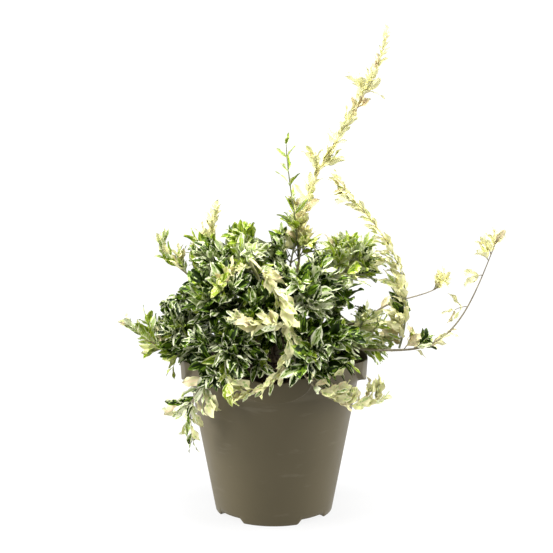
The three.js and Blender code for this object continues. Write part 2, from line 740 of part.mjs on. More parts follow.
const boughs = layOut();
const limbs = MASSES.flatMap((mass) => samplesOf(mass.stem, LIMB_TIP_RADIUS, STEM_TIP_RADIUS, mass.name));
limbs.push(...SHOOTS.flatMap((shoot) => shoot.samples));
const grown = [];
for (const bough of boughs) {
  const solid = limb(bough.curve, LIMB_RADIUS, LIMB_TIP_RADIUS, LIMB_SIDES, 4);
  limbs.push(...samplesOf(bough.curve, LIMB_RADIUS, LIMB_TIP_RADIUS, bough.name));
  grown.push(solid);
  add(bough.name, solid, COLOURS.bough, 0.7);
}
SHOOTS.forEach((shoot, i) => {
  shoot.seed = 211 + i;
  const solid = growShoot(shoot, limbs, grown);
  grown.push(solid);
  add("shoot_" + shoot.name, solid, COLOURS.shoot, 0.5);
});
limbs.push(...SHOOTS.flatMap((shoot) => shoot.leafSamples));
MASSES.forEach((mass, i) => {
  mass.seed = 11 + i;
  const solid = growMass(mass, limbs, grown);
  grown.push(solid);
  add("foliage_" + mass.name, solid, COLOURS.bush, 0.5);
});

export default plant;
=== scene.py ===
"""Harlequin wintercreeper in its nursery pot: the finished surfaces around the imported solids.

The twigs and leaves grow on from the same limbs, by the same rule as in the part's source, and finer.
Lengths are metres. Those that repeat the source's millimetres are written as so many MM.
"""
import math

import bpy
import numpy as np
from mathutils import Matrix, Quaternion, Vector, noise
from mathutils.kdtree import KDTree


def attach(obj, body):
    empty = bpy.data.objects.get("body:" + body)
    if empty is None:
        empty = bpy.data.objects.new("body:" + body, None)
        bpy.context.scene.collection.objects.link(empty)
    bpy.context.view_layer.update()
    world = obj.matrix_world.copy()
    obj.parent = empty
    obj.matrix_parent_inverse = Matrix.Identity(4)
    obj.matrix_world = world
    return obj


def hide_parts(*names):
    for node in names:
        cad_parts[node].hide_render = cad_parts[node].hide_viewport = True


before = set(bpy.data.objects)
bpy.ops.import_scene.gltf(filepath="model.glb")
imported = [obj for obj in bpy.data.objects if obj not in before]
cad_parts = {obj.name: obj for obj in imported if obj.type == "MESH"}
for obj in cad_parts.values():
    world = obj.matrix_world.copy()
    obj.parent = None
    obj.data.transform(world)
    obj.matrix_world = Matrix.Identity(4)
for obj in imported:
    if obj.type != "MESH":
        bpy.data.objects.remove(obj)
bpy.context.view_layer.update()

MM = 0.001
UP = Vector((0, 0, 1))

# The pot, as in the source
POT_HEIGHT = 148 * MM
FOOT_RADIUS = 53.4 * MM
FLAT_RADIUS = 77.5 * MM
CORNER_RADIUS = 85.5 * MM
TAPER_HEIGHT = 130 * MM
FLARE_START = 124 * MM
FLARE_INSET = 0.4 * MM
POT_WALL = 1.5 * MM
LUG_HALF_WIDTH = 37 * MM
LUG_DEPTH = 22 * MM
LUG_TOP = 146 * MM
LUG_DRAFT = 1.5 * MM
LUG_EDGE = 0.9 * MM  # how wide the step at a lug's edge is
RIM_DIP = 4.5 * MM
RIM_DIP_HALF_WIDTH = 30 * MM
RIM_ROUND = 0.55 * MM
CHANNEL_HEIGHT = 4.2 * MM
CHANNEL_HALF_WIDTH = 13 * MM
CHANNEL_SIDE = 3.2 * MM
CHANNEL_START = 22 * MM
POT_FLOOR = CHANNEL_HEIGHT + POT_WALL
UNDERSIDE_SHARES = [0.05, 0.2, 0.38, 0.42, 0.48, 0.6, 0.75, 0.88, 0.96]
FLOOR_SHARES = [0.8, 0.45, 0.1]
FEET_TURN = math.radians(-3.4)
FOOT_ROUND = 0.7 * MM
DRAIN_RADIUS = 4 * MM
DRAIN_DISTANCE = 37 * MM
POT_SIDES = 384

# The potting mix
GAP = 0.35 * MM
SOIL_EDGE = 139 * MM
SOIL_CROWN = 141 * MM
SOIL_LUMP = 1.2 * MM
SOIL_NOISE = [(90, 1), (260, 0.6), (600, 0.4)]  # scales and shares
SOIL_SIDES = 160
SOIL_ROWS = 46
SOIL_SEED = 5
CRUMBS = 900
CRUMB_SIZES = (0.6, 2.0)  # in millimetres
CRUMB_STRETCH = (0.5, 1.3)
CRUMB_ROUGHNESS = 0.2
SPLINTERS = 0.25  # how many crumbs are long and thin
SPLINTER = (2.0, 0.8, 0.6)
BARK_CHIPS = 0.3  # how many have the colour of bark

# The trunk and its limbs, as in the source
TRUNK_BASE = SOIL_CROWN + GAP
TRUNK_HEIGHT = 26 * MM
TRUNK_RADIUS = 6 * MM
TRUNK_PROFILE = [(10, 0), (7.4, 2.5), (6.3, 6), (6, 18), (7.2, 23), (6.9, 26)]
TRUNK_LEAN = 0.05
LOW_RING = {"height": 8 * MM, "rise": math.radians(18)}
MIDDLE_RING = {"height": 16 * MM, "rise": math.radians(48)}
TOP_RING = {"radius": 5.2 * MM, "rise": math.radians(71)}
LIMB_RADIUS = 1.7 * MM
LIMB_TIP_RADIUS = 1.1 * MM
STEM_TIP_RADIUS = 0.8 * MM
TWIG_RADIUS = 1 * MM
BOUGH_SHARE = 0.55
BOUGH_BEND = 0.35
BARK_RIDGES = (900, 220)  # their scale across and up
BARK_KNOBS = 140

# The bush and its masses, as in the source
BUSH_HALF_WIDTH = 102 * MM
BUSH_HALF_DEPTH = 98 * MM
BUSH_BASE = 150 * MM
BUSH_HEIGHT = 112 * MM
BUSH_HEART = Vector((0, 0, BUSH_BASE))
MASS_REACH = 48 * MM
MASS_CORE = 33 * MM
MASS_LEAF = 30 * MM
MASS_TWIGS = 6
TIP_SHARE = 0.94
GOLDEN_ANGLE = math.radians(137.5)
NO_DRIFT = Vector((0, 0, 0))

# The finer growth, which only the scene has. Radii are those at the foot and at the tip
STEM_RADII = (LIMB_TIP_RADIUS, STEM_TIP_RADIUS)
MAIN_TWIG_RADII = (0.85 * MM, 0.55 * MM)
FINE_TWIG_RADII = (0.55 * MM, 0.35 * MM)
SPRAY_RADII = (0.8 * MM, 0.35 * MM)
SHOOT_RADII = (1.0 * MM, 0.4 * MM)
SPRIG_RADII = (0.5 * MM, 0.3 * MM)
MAIN_LENGTH = MASS_REACH * 0.7
MAIN_SHARES = (0.25, 0.85)  # of the stem, where its twigs leave
MAIN_LEANS = (1.4, 0.9)
FINE_LENGTH = 19 * MM
FINE_LENGTHS = (0.7, 1.1)
FINE_SHARES = (0.2, 0.92)
FINE_LEANS = (1.15, 0.7)
SPRAY_REACH = (0.4, 1)
SPRAY_LEANS = (1.0, 0.45)
SPRIG_REACH = (0.15, 1)
SPRIG_LEANS = (0.8, 0.45)
SHOOT_START = 0.02
FITTING_SIZES = [1, 0.85, 0.7]
FINE_TWIGS = 5  # off each main twig
SHORTEST_TWIG = 5 * MM
TWIG_BEND = 0.55
LEAF = 24 * MM
LEAF_SHAPE = 0.42
BARE_SHARE = 0.45  # of a main twig, up to its first leaves
FINE_BARE_SHARE = 0.4
NODE_STEP = 6.5 * MM  # from one pair of leaves to the next

# How a twig rises, the leaf at its tip, the share of that leaf that has to fit, and how a twig is shortened
MAIN_HABIT = (0.18, MASS_LEAF, 0.45, 0.88)
FINE_HABIT = (0.25, LEAF, 0.3, 0.8)

# The mixes of the masses: how often each kind of leaf comes
DARK_MIX = {"dark": 50, "mid": 20, "marbled": 20, "fresh": 6, "pale": 4}
MARBLED_MIX = {"marbled": 34, "dark": 46, "mid": 8, "pale": 6, "white": 4, "fresh": 2}
FRESH_MIX = {"fresh": 40, "soft": 34, "mid": 10, "marbled": 8, "white": 8}
CREAM_MIX = {"mid": 10, "fresh": 16, "marbled": 28, "lemon": 16, "pale": 30}
PALE_MIX = {"soft": 46, "white": 22, "ivory": 14, "fresh": 12, "pale": 6}
CRISP_MIX = {"soft": 36, "fresh": 26, "white": 18, "marbled": 12, "lemon": 8}
STRIPED_MIX = {"marbled": 40, "pale": 22, "white": 6, "dark": 18, "mid": 14}

# Each mass of the bush: its ring on the trunk, its centre in millimetres, and its mix
MASSES = [
    ("front_middle", MIDDLE_RING, (-6, -52, 190), DARK_MIX),
    ("front_left", MIDDLE_RING, (-46, -42, 204), MARBLED_MIX),
    ("front_right", MIDDLE_RING, (28, -44, 212), STRIPED_MIX),
    ("front_low_left", LOW_RING, (-38, -68, 169), MARBLED_MIX),
    ("front_low_right", LOW_RING, (36, -68, 170), DARK_MIX),
    ("left_low", LOW_RING, (-76, -22, 166), MARBLED_MIX),
    ("left_middle", MIDDLE_RING, (-74, 8, 194), MARBLED_MIX),
    ("left_upper", TOP_RING, (-53, -3, 228), CREAM_MIX),
    ("top_left", TOP_RING, (-24, -6, 240), FRESH_MIX),
    ("top_right", TOP_RING, (16, 2, 234), STRIPED_MIX),
    ("right_upper", TOP_RING, (66, -5, 230), CRISP_MIX),
    ("right_middle", MIDDLE_RING, (62, -14, 196), STRIPED_MIX),
    ("right_low", LOW_RING, (78, -8, 165), PALE_MIX),
    ("back_low_left", LOW_RING, (-60, 48, 169), MARBLED_MIX),
    ("back_low", LOW_RING, (-4, 74, 170), DARK_MIX),
    ("back_low_right", LOW_RING, (56, 52, 169), FRESH_MIX),
    ("back_left", MIDDLE_RING, (-34, 40, 220), MARBLED_MIX),
    ("back_right", MIDDLE_RING, (36, 40, 218), PALE_MIX),
]

# The mixes of the long shoots and of the sprays
CREAM_SHOOT = {"cream": 60, "blush": 18, "lemon": 6, "pale": 6, "white": 10}
IVORY_SHOOT = {"ivory": 74, "blush": 20, "lemon": 6}
ARCHING_SHOOT = {"ivory": 66, "soft": 12, "lemon": 14, "blush": 8}
BLUSH_SPRAY = {"blush": 40, "cream": 26, "lemon": 20, "fresh": 14}
GREEN_SHOOT = {"fresh": 56, "soft": 44}
LIME_SPRAY = {"lime": 80, "fresh": 20}
TENDER_SHOOT = {"soft": 40, "white": 20, "ivory": 18, "fresh": 12, "blush": 10}
MIXED_SHOOT = {"white": 30, "marbled": 24, "cream": 22, "soft": 16, "blush": 8}

# Sprays that stand out of the bush or fill it inside, by mass: where they leave its stem, their end in
# millimetres, their pairs of leaves, the length of a leaf and their mix
SPRAYS = {
    "front_left": [(0.8, (-30, -92, 250), 8, 18, BLUSH_SPRAY), (0.5, (-44, -98, 240), 10, 17, LIME_SPRAY)],
    "front_right": [(0.1, (20, -24, 206), 5, 22, STRIPED_MIX)],
    "front_low_left": [
        (0.7, (-30, -98, 168), 6, 23, STRIPED_MIX), (0.9, (-38, -103, 142), 3, 15, LIME_SPRAY),
    ],
    "front_low_right": [(0.8, (22, -97, 162), 3, 24, MARBLED_MIX)],
    "left_low": [(0.7, (-90, -30, 143), 2, 15, LIME_SPRAY)],
    "left_middle": [(0.8, (-84, -14, 196), 4, 18, STRIPED_MIX)],
    "left_upper": [(0.8, (-66, 4, 247), 3, 19, GREEN_SHOOT), (0.6, (-68, 4, 244), 4, 15, BLUSH_SPRAY)],
    "top_left": [
        (0.8, (-31, -8, 256), 4, 21, GREEN_SHOOT), (0.6, (-17, -46, 251), 7, 20, PALE_MIX),
        (0.0, (-14, -14, 213), 6, 22, DARK_MIX),
    ],
    "top_right": [
        (0.8, (31, -6, 250), 3, 15, LIME_SPRAY), (0.6, (44, -8, 246), 2, 16, GREEN_SHOOT),
        (0.0, (24, -14, 202), 6, 22, DARK_MIX), (0.0, (0, -8, 209), 7, 22, MARBLED_MIX),
    ],
    "right_upper": [
        (0.6, (52, -8, 246), 4, 19, TENDER_SHOOT), (0.8, (64, -6, 249), 4, 20, CRISP_MIX),
        (0.7, (80, -8, 247), 4, 20, CRISP_MIX), (0.5, (90, -8, 234), 4, 16, TENDER_SHOOT),
        (0.0, (30, -14, 209), 6, 22, MARBLED_MIX),
    ],
    "right_middle": [(0.8, (64, -34, 208), 3, 24, DARK_MIX)],
    "right_low": [
        (0.6, (78, -30, 190), 5, 18, TENDER_SHOOT), (0.8, (92, -26, 180), 3, 15, GREEN_SHOOT),
        (0.9, (103, -18, 166), 4, 14, TENDER_SHOOT),
    ],
    "back_low": [(0.2, (4, 52, 197), 7, 22, MARBLED_MIX)],
    "back_left": [(0.3, (-12, 28, 216), 6, 22, DARK_MIX)],
    "back_right": [(0.1, (14, 42, 207), 7, 22, STRIPED_MIX), (0.3, (22, 56, 204), 6, 22, PALE_MIX)],
}

# The gaps where the sky shows between the crown's tufts, as ellipses seen from the front: their middle across
# and up, and half their width and height, in millimetres at the trunk's depth. Points at another depth are
# held against them along a line that falls by SKY_FALL.
SKY_FALL = 0.2586
SKY = [
    (-108, 232, 33, 33), (-48, 264, 6, 17), (-10, 268, 10, 17), (20, 250, 11, 28), (40, 264, 13, 21),
    (97, 203, 27, 13), (78, 204, 9, 9), (69, 187, 7, 14), (96, 167, 7, 7),
    (-106, 121, 26, 22), (108, 118, 26, 22),
]
LOWEST_LEVEL = 117 * MM

# Each shoot: its ring or the shoot that carries it, its bend points in millimetres, the length of its leaves,
# its pairs of leaves, how they lean at its foot and its tip, and its mix. For some, a way that all its leaves
# turn, and how far up the pairs go. Its stem: the older wood's finish, the younger's, and where that starts.
# Each sprig off it: where it leaves, where it ends in millimetres, its pairs, and for some a mix of its own.
SHOOTS = [
    {
        "name": "tall", "ring": TOP_RING, "stem": (2, 2, 0), "drift": (-0.1, 0, 0.15),
        "bend": [(23, 14, 238), (20, 20, 318), (85, 28, 357), (101, 35, 434)],
        "leaf": 18, "pairs": 32, "lean": (0.7, 0.4), "mix": IVORY_SHOOT, "last": 0.98,
        "sprigs": [
            (0.0, (14, 0, 246), 5), (0.0, (29, 0, 250), 5), (0.0, (18, 2, 260), 9), (0.0, (27, 2, 270), 9),
            (0.04, (20, 4, 284), 8), (0.33, (36, 20, 322), 3),
            (0.36, (50, 24, 318), 2), (0.72, (77, 28, 388), 3), (0.74, (84, 30, 383), 2),
        ],
    },
    {
        "name": "upright_green", "from": "tall", "share": 0.93, "stem": (0, 0, 0),
        "bend": [(17, 8, 238), (21, -4, 273), (12, -2, 309), (11, -5, 341)],
        "leaf": 18, "pairs": 8, "lean": (1.0, 0.7), "mix": GREEN_SHOOT,
        "sprigs": [(0.0, (9, 4, 256), 3), (0.0, (33, 2, 250), 3), (0.2, (15, 2, 268), 4)],
    },
    {
        "name": "right_long", "ring": LOW_RING, "stem": (1, 1, 1),
        "bend": [(116, -26, 158), (165, -20, 158), (177, -18, 200), (200, -10, 258)],
        "leaf": 16, "pairs": 5, "lean": (0.6, 0.4), "mix": IVORY_SHOOT, "last": 0.3,
        "sprigs": [
            (0.0, (122, -26, 170), 4, BLUSH_SPRAY), (0.06, (134, -24, 166), 4, STRIPED_MIX),
            (0.52, (162, -18, 193), 2), (0.74, (181, -14, 223), 2),
            (0.84, (188, -12, 241), 3), (0.88, (191, -8, 249), 4), (0.93, (197, -8, 256), 3),
        ],
    },
    {
        "name": "right_arching", "from": "right_long", "share": 0.97, "stem": (0, 2, 0.6),
        "drift": (-0.8, 0, 0.05),
        "bend": [(117, -22, 163), (131, -22, 222), (102, -23, 262), (63, -25, 304)],
        "leaf": 17, "pairs": 30, "lean": (0.9, 0.55), "mix": ARCHING_SHOOT, "last": 0.98,
        "sprigs": [
            (0.02, (106, -18, 170), 4, BLUSH_SPRAY), (0.04, (109, -24, 180), 4), (0.1, (110, -26, 192), 4),
            (0.14, (112, -20, 204), 4, STRIPED_MIX), (0.3, (104, -26, 222), 4), (0.46, (99, -26, 240), 3),
            (0.92, (66, -25, 296), 3), (0.95, (58, -25, 311), 4),
        ],
    },
    {
        "name": "right_short", "ring": MIDDLE_RING, "stem": (1, 1, 1),
        "bend": [(92, 18, 180), (106, 18, 195), (135, 22, 192), (154, 25, 205)],
        "leaf": 15, "pairs": 2, "lean": (0.8, 0.5), "mix": IVORY_SHOOT, "last": 0.2,
        "sprigs": [(0.86, (150, 18, 208), 4), (0.92, (154, 22, 210), 3), (0.85, (147, 20, 206), 3)],
    },
    {
        "name": "left_low", "ring": LOW_RING, "stem": (1, 0, 0.5), "drift": (-0.1, 0, 0.7), "last": 0.9,
        "bend": [(-92, -12, 152), (-109, -17, 159), (-121, -18, 172), (-133, -20, 181)],
        "leaf": 18, "pairs": 12, "lean": (0.8, 0.5), "mix": TENDER_SHOOT,
        "sprigs": [
            (0.1, (-101, -12, 174), 4, STRIPED_MIX), (0.3, (-112, -16, 182), 4, GREEN_SHOOT),
            (0.15, (-108, -20, 154), 3, BLUSH_SPRAY), (0.1, (-96, -16, 166), 3, BLUSH_SPRAY),
        ],
    },
    {
        "name": "left_upper", "ring": TOP_RING, "stem": (1, 2, 0.2), "drift": (0, 0, 0.5),
        "bend": [(-76, 8, 217), (-85, 8, 228), (-105, 8, 234), (-98, 10, 250)],
        "leaf": 17, "pairs": 14, "lean": (0.8, 0.5), "mix": PALE_MIX,
        "sprigs": [(0.2, (-84, 8, 232), 5, BLUSH_SPRAY)],
    },
    {
        "name": "pale_upright", "ring": MIDDLE_RING, "stem": (2, 2, 0),
        "bend": [(-57, 36, 222), (-59, 40, 240), (-55, 42, 255), (-53, 44, 270)],
        "leaf": 15, "pairs": 12, "lean": (0.6, 0.35), "mix": IVORY_SHOOT,
        "sprigs": [(0.1, (-63, 38, 246), 4)],
    },
    {
        "name": "front_hanging", "ring": TOP_RING, "stem": (2, 2, 0),
        "bend": [(-14, -66, 246), (15, -92, 222), (34, -98, 153), (-25, -104, 140)],
        "leaf": 18, "pairs": 22, "lean": (0.5, 0.4), "mix": CREAM_SHOOT,
        "sprigs": [
            (0.44, (-4, -102, 206), 4), (0.42, (-32, -101, 208), 8), (0.9, (-32, -101, 148), 3),
            (0.0, (-5, -82, 241), 4),
        ],
    },
    {
        "name": "front_right_hanging", "ring": LOW_RING, "stem": (1, 1, 1), "drift": (0.1, 0, 0.9),
        "bend": [(25, -86, 156), (39, -92, 133), (70, -70, 110), (97, -46, 118)],
        "leaf": 16, "pairs": 14, "lean": (0.9, 0.7), "mix": CREAM_SHOOT,
        "sprigs": [
            (0.1, (52, -82, 150), 2), (0.3, (58, -82, 138), 4), (0.55, (66, -76, 132), 3),
            (0.75, (84, -60, 132), 3), (0.9, (91, -50, 126), 3),
        ],
    },
    {
        "name": "left_hanging", "ring": LOW_RING, "stem": (0, 1, 0.4),
        "bend": [(-58, -66, 150), (-74, -68, 125), (-76, -62, 107), (-72, -56, 84)],
        "leaf": 20, "pairs": 9, "lean": (1.2, 0.7), "mix": MIXED_SHOOT,
        "sprigs": [(0.1, (-58, -74, 128), 3), (0.4, (-82, -62, 116), 3), (0.3, (-74, -66, 108), 2)],
    },
]

GREEN_SHOOTS = ["upright_green", "left_low"]  # the others have the finish of the cream leaves

# Leaf colours, plain, as linear light
LEAF_COLOURS = {
    "deep": (0.012, 0.027, 0.0015),
    "green": (0.11, 0.19, 0.012),
    "fresh": (0.33, 0.43, 0.035),
    "sage": (0.37, 0.47, 0.18),
    "grey": (0.48, 0.57, 0.25),
    "white": (0.78, 0.80, 0.56),
    "lemon": (0.70, 0.73, 0.32),
    "cream": (0.68, 0.65, 0.37),
    "ivory": (0.84, 0.81, 0.47),
    "blush": (0.76, 0.63, 0.41),
}

# Each kind of leaf: the colours of its middle and of the dapples on it, how often those come, the colours of
# its streaks near the midrib and near the edge, how often they come from the midrib to the edge, its width as
# a share of its length, and how much its edge is crimped
LEAF_KINDS = {
    "dark": ("deep", "green", 0.3, "green", "grey", (0.04, 0.08, 0.12, 0.3), 0.44, 0.03),
    "mid": ("green", "deep", 0.4, "fresh", "sage", (0.08, 0.14, 0.2, 0.35), 0.42, 0.04),
    "marbled": ("deep", "green", 0.3, "grey", "white", (0.1, 0.28, 0.6, 0.9), 0.42, 0.05),
    "fresh": ("fresh", "green", 0.35, "fresh", "lemon", (0.1, 0.2, 0.35, 0.6), 0.37, 0.04),
    "lime": ("fresh", "lemon", 0.3, "lemon", "lemon", (0.15, 0.25, 0.4, 0.8), 0.46, 0.05),
    "pale": ("green", "sage", 0.4, "grey", "white", (0.3, 0.5, 0.8, 1), 0.38, 0.05),
    "soft": ("sage", "fresh", 0.45, "grey", "white", (0.15, 0.4, 0.75, 1), 0.32, 0.05),
    "white": ("grey", "green", 0.2, "white", "white", (0.5, 0.7, 0.9, 1), 0.36, 0.06),
    "lemon": ("lemon", "fresh", 0.2, "lemon", "ivory", (0.4, 0.6, 0.85, 1), 0.34, 0.07),
    "cream": ("cream", "lemon", 0.35, "sage", "cream", (0.12, 0.16, 0.5, 1), 0.5, 0.1),
    "ivory": ("ivory", "lemon", 0.25, "ivory", "ivory", (0.5, 0.5, 0.7, 1), 0.38, 0.07),
    "blush": ("cream", "blush", 0.5, "blush", "ivory", (0.2, 0.2, 0.3, 0.6), 0.42, 0.09),
}


# Small helpers

def lerp(start, end, share):
    return start + (end - start) * share


def taper(start, end):
    return lambda share: lerp(start, end, share)


def clamp(value, low, high):
    return max(low, min(high, value))


def seeded(seed):
    """Repeatable random numbers from 0 to 1, the same that the solids are grown with."""
    mask = 0xFFFFFFFF
    state = seed

    def draw():
        nonlocal state
        state = (state + 0x6D2B79F5) & mask
        mixed = ((state ^ (state >> 15)) * (1 | state)) & mask
        mixed = ((mixed + (((mixed ^ (mixed >> 7)) * (61 | mixed)) & mask)) & mask) ^ mixed
        return ((mixed ^ (mixed >> 14)) & mask) / 4294967296

    return draw


def pick(mix, share):
    """The name at a share through a mix of names and how often they come."""
    left = share * sum(mix.values())
    for name, often in mix.items():
        left -= often
        if left < 0:
            return name
    return name


def branch_off(along, turn, lean):
    """A direction at an angle to `along`, turned round it."""
    level = Vector((1, 0, 0)) if abs(along.z) > 0.95 else UP
    side = along.cross(level).normalized()
    side.rotate(Quaternion(along, turn))
    return (side * math.sin(lean) + along * math.cos(lean)).normalized()


class Curve:
    """A Bezier curve on three or four points, walked by its length."""

    STEPS = 48

    def __init__(self, *points):
        self.points = [Vector(point) for point in points]
        self.marks = [self.bezier(i / self.STEPS) for i in range(self.STEPS + 1)]
        self.lengths = [0.0]
        for start, end in zip(self.marks, self.marks[1:]):
            self.lengths.append(self.lengths[-1] + (end - start).length)
        self.length = self.lengths[-1]

    def bezier(self, t):
        points = self.points
        while len(points) > 1:
            points = [a.lerp(b, t) for a, b in zip(points, points[1:])]
        return points[0]

    def walk(self, share):
        """The curve's step at a share of its length, and how far along it."""
        far = clamp(share, 0, 1) * self.length
        step = min(int(np.searchsorted(self.lengths, far, side="right")) - 1, self.STEPS - 1)
        size = self.lengths[step + 1] - self.lengths[step]
        return step, (far - self.lengths[step]) / size if size else 0

    def at(self, share):
        step, part = self.walk(share)
        return self.marks[step].lerp(self.marks[step + 1], part)

    def along(self, share):
        step, _ = self.walk(share)
        return (self.marks[step + 1] - self.marks[step]).normalized()


class Build:
    """The corners, faces and material slots of one mesh, gathered from many shapes."""

    def __init__(self):
        self.corners = []
        self.faces = []
        self.slots = []
        self.count = 0

    def add(self, corners, faces, slots=0):
        """Adds corners, which are points, and faces, which are rows of corner numbers."""
        self.corners.append(corners)
        self.faces.append(faces + self.count)
        self.slots.append(np.broadcast_to(slots, len(faces)))
        self.count += len(corners)

    def piece(self, name, materials):
        """The shapes as one object. A row that ends by repeating a corner is a triangle."""
        faces = [row[:3] if row[2] == row[-1] else row for rows in self.faces for row in rows.tolist()]
        mesh = bpy.data.meshes.new(name)
        mesh.from_pydata(np.concatenate(self.corners).tolist(), [], faces)
        mesh.polygons.foreach_set("material_index", np.concatenate(self.slots).astype(np.int32))
        mesh.validate()
        mesh.shade_smooth()
        for material in materials:
            mesh.materials.append(material)
        piece = bpy.data.objects.new(name, mesh)
        bpy.context.scene.collection.objects.link(piece)
        return piece


def dress(piece, slot, *nodes):
    """The piece rides on the plant's one body, in place of these nodes. The slot is not used."""
    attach(piece, "root")
    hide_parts(*nodes)


def grid_faces(rows, columns, wrap=False):
    """The faces of a grid of corners. With wrap, the last column joins the first."""
    across = columns if wrap else columns - 1
    row, column = np.divmod(np.arange((rows - 1) * across), across)
    start = row * columns
    after = (column + 1) % columns
    return np.stack([start + column, start + after, start + columns + after, start + columns + column], 1)


def closed_faces(rows, columns):
    """The faces of rings of corners, closed at both ends by fans to two more corners."""
    side = np.arange(columns)
    after = (side + 1) % columns
    top, first = (rows - 1) * columns, rows * columns
    return np.concatenate([
        grid_faces(rows, columns, wrap=True),
        np.stack([side * 0 + first, after, side, side], 1),
        np.stack([side * 0 + first + 1, top + side, top + after, top + after], 1),
    ])


def around(sides):
    return np.arange(sides) * 2 * math.pi / sides


def ring_points(angle, radius, height):
    return np.stack([radius * np.cos(angle), radius * np.sin(angle), 0 * angle + height], 1)


def tube(build, curve, radius, sides, steps, relief=None, slot=lambda share: 0):
    """A closed tube. radius and slot go by the share of the curve, relief by a point and its share."""
    rings = []
    normal = curve.along(0).orthogonal().normalized()
    for step in range(steps + 1):
        share = step / steps
        along = curve.along(share)
        normal = (normal - along * normal.dot(along)).normalized()
        binormal = along.cross(normal)
        centre = curve.at(share)
        for side in range(sides):
            turn = 2 * math.pi * side / sides
            out = normal * math.cos(turn) + binormal * math.sin(turn)
            point = centre + out * radius(share)
            rings.append(point + out * relief(point, share) if relief else point)
    ends = [curve.at(0) - curve.along(0) * radius(0) * 0.2, curve.at(1) + curve.along(1) * radius(1) * 0.6]
    slots = [slot(step / steps) for step in range(steps)] + [slot(0), slot(1)]
    build.add(np.array(rings + ends), closed_faces(steps + 1, sides), np.repeat(slots, sides))


# Materials

def plain_material(name, colour, roughness):
    material = bpy.data.materials.new(name)
    material.use_nodes = True
    shader = material.node_tree.nodes["Principled BSDF"]
    shader.inputs["Base Color"].default_value = (*colour, 1)
    shader.inputs["Roughness"].default_value = roughness
    return material, material.node_tree, shader


def add_noise(tree, scale, detail=4, stretch=(1, 1, 1)):
    """A noise pattern on the object's own coordinates, in metres."""
    coordinates = tree.nodes.new("ShaderNodeTexCoord")
    mapping = tree.nodes.new("ShaderNodeMapping")
    mapping.inputs["Scale"].default_value = stretch
    pattern = tree.nodes.new("ShaderNodeTexNoise")
    pattern.inputs["Scale"].default_value = scale
    pattern.inputs["Detail"].default_value = detail
    tree.links.new(coordinates.outputs["Object"], mapping.inputs["Vector"])
    tree.links.new(mapping.outputs["Vector"], pattern.inputs["Vector"])
    return pattern.outputs["Fac"]


def add_ramp(tree, source, stops):
    """Colours or greys by a socket's value. stops are (place, colour) pairs."""
    ramp = tree.nodes.new("ShaderNodeValToRGB")
    elements = ramp.color_ramp.elements
    while len(elements) < len(stops):
        elements.new(0.5)
    for element, (place, colour) in zip(elements, stops):
        element.position = place
        element.color = (*colour, 1) if isinstance(colour, tuple) else (colour, colour, colour, 1)
    tree.links.new(source, ramp.inputs["Fac"])
    return ramp.outputs["Color"]


def add_mix(tree, share, first, second):
    """Two colour sockets mixed by a third socket."""
    mix = tree.nodes.new("ShaderNodeMix")
    mix.data_type = "RGBA"
    for name, source in [("Factor", share), ("A", first), ("B", second)]:
        tree.links.new(source, mix.inputs[name])
    return mix.outputs["Result"]


def add_bump(tree, shader, height, strength, distance):
    bump = tree.nodes.new("ShaderNodeBump")
    bump.inputs["Strength"].default_value = strength
    bump.inputs["Distance"].default_value = distance
    tree.links.new(height, bump.inputs["Height"])
    tree.links.new(bump.outputs["Normal"], shader.inputs["Normal"])


def leaf_material(name, colour):
    """A waxy leaf in one plain colour, shinier in patches."""
    material, tree, shader = plain_material("leaf_" + name, colour, 0.42)
    shader.inputs["Specular IOR Level"].default_value = 0.14
    patches = add_noise(tree, 260, 2)
    tree.links.new(add_ramp(tree, patches, [(0.35, 0.34), (0.65, 0.5)]), shader.inputs["Roughness"])
    return material


def pot_material():
    """Satin taupe plastic with faint mould marks, dust and scuffs."""
    material, tree, shader = plain_material("taupe_plastic", (0.088, 0.072, 0.037), 0.42)
    shader.inputs["Specular IOR Level"].default_value = 0.25
    stops = [(0.3, (0.083, 0.068, 0.035)), (0.7, (0.093, 0.076, 0.04))]
    cloud = add_ramp(tree, add_noise(tree, 14, 3), stops)
    scuffs = add_ramp(tree, add_noise(tree, 60, 6, (0.5, 0.5, 2.2)), [(0.62, 0.0), (0.78, 0.22)])
    dust = tree.nodes.new("ShaderNodeRGB")
    dust.outputs[0].default_value = (0.21, 0.19, 0.14, 1)
    colour = add_mix(tree, scuffs, cloud, dust.outputs[0])
    tree.links.new(colour, shader.inputs["Base Color"])
    rough = add_ramp(tree, add_noise(tree, 35, 5, (1, 1, 0.4)), [(0.3, 0.38), (0.7, 0.52)])
    tree.links.new(rough, shader.inputs["Roughness"])
    add_bump(tree, shader, add_noise(tree, 1800, 2), 0.06, 0.0003)
    return material


def mottled_material(name, colour, roughness, pattern, stops, grain, bump):
    """Blots of colour and a fine grain. pattern and grain go to add_noise, and bump to add_bump."""
    material, tree, shader = plain_material(name, colour, roughness)
    tree.links.new(add_ramp(tree, add_noise(tree, *pattern), stops), shader.inputs["Base Color"])
    add_bump(tree, shader, add_noise(tree, *grain), *bump)
    return material


def soil_material():
    stops = [(0.3, (0.014, 0.009, 0.006)), (0.52, (0.04, 0.022, 0.013)), (0.72, (0.11, 0.055, 0.028))]
    return mottled_material(
        "moist_mix", (0.03, 0.017, 0.01), 0.9, (240, 5), stops, (900, 4), (0.7, 0.0008)
    )


def crumb_material(name, dark, pale):
    stops = [(0.35, dark), (0.65, pale)]
    return mottled_material(name, dark, 0.85, (500, 4), stops, (1200, 3), (0.5, 0.0004))


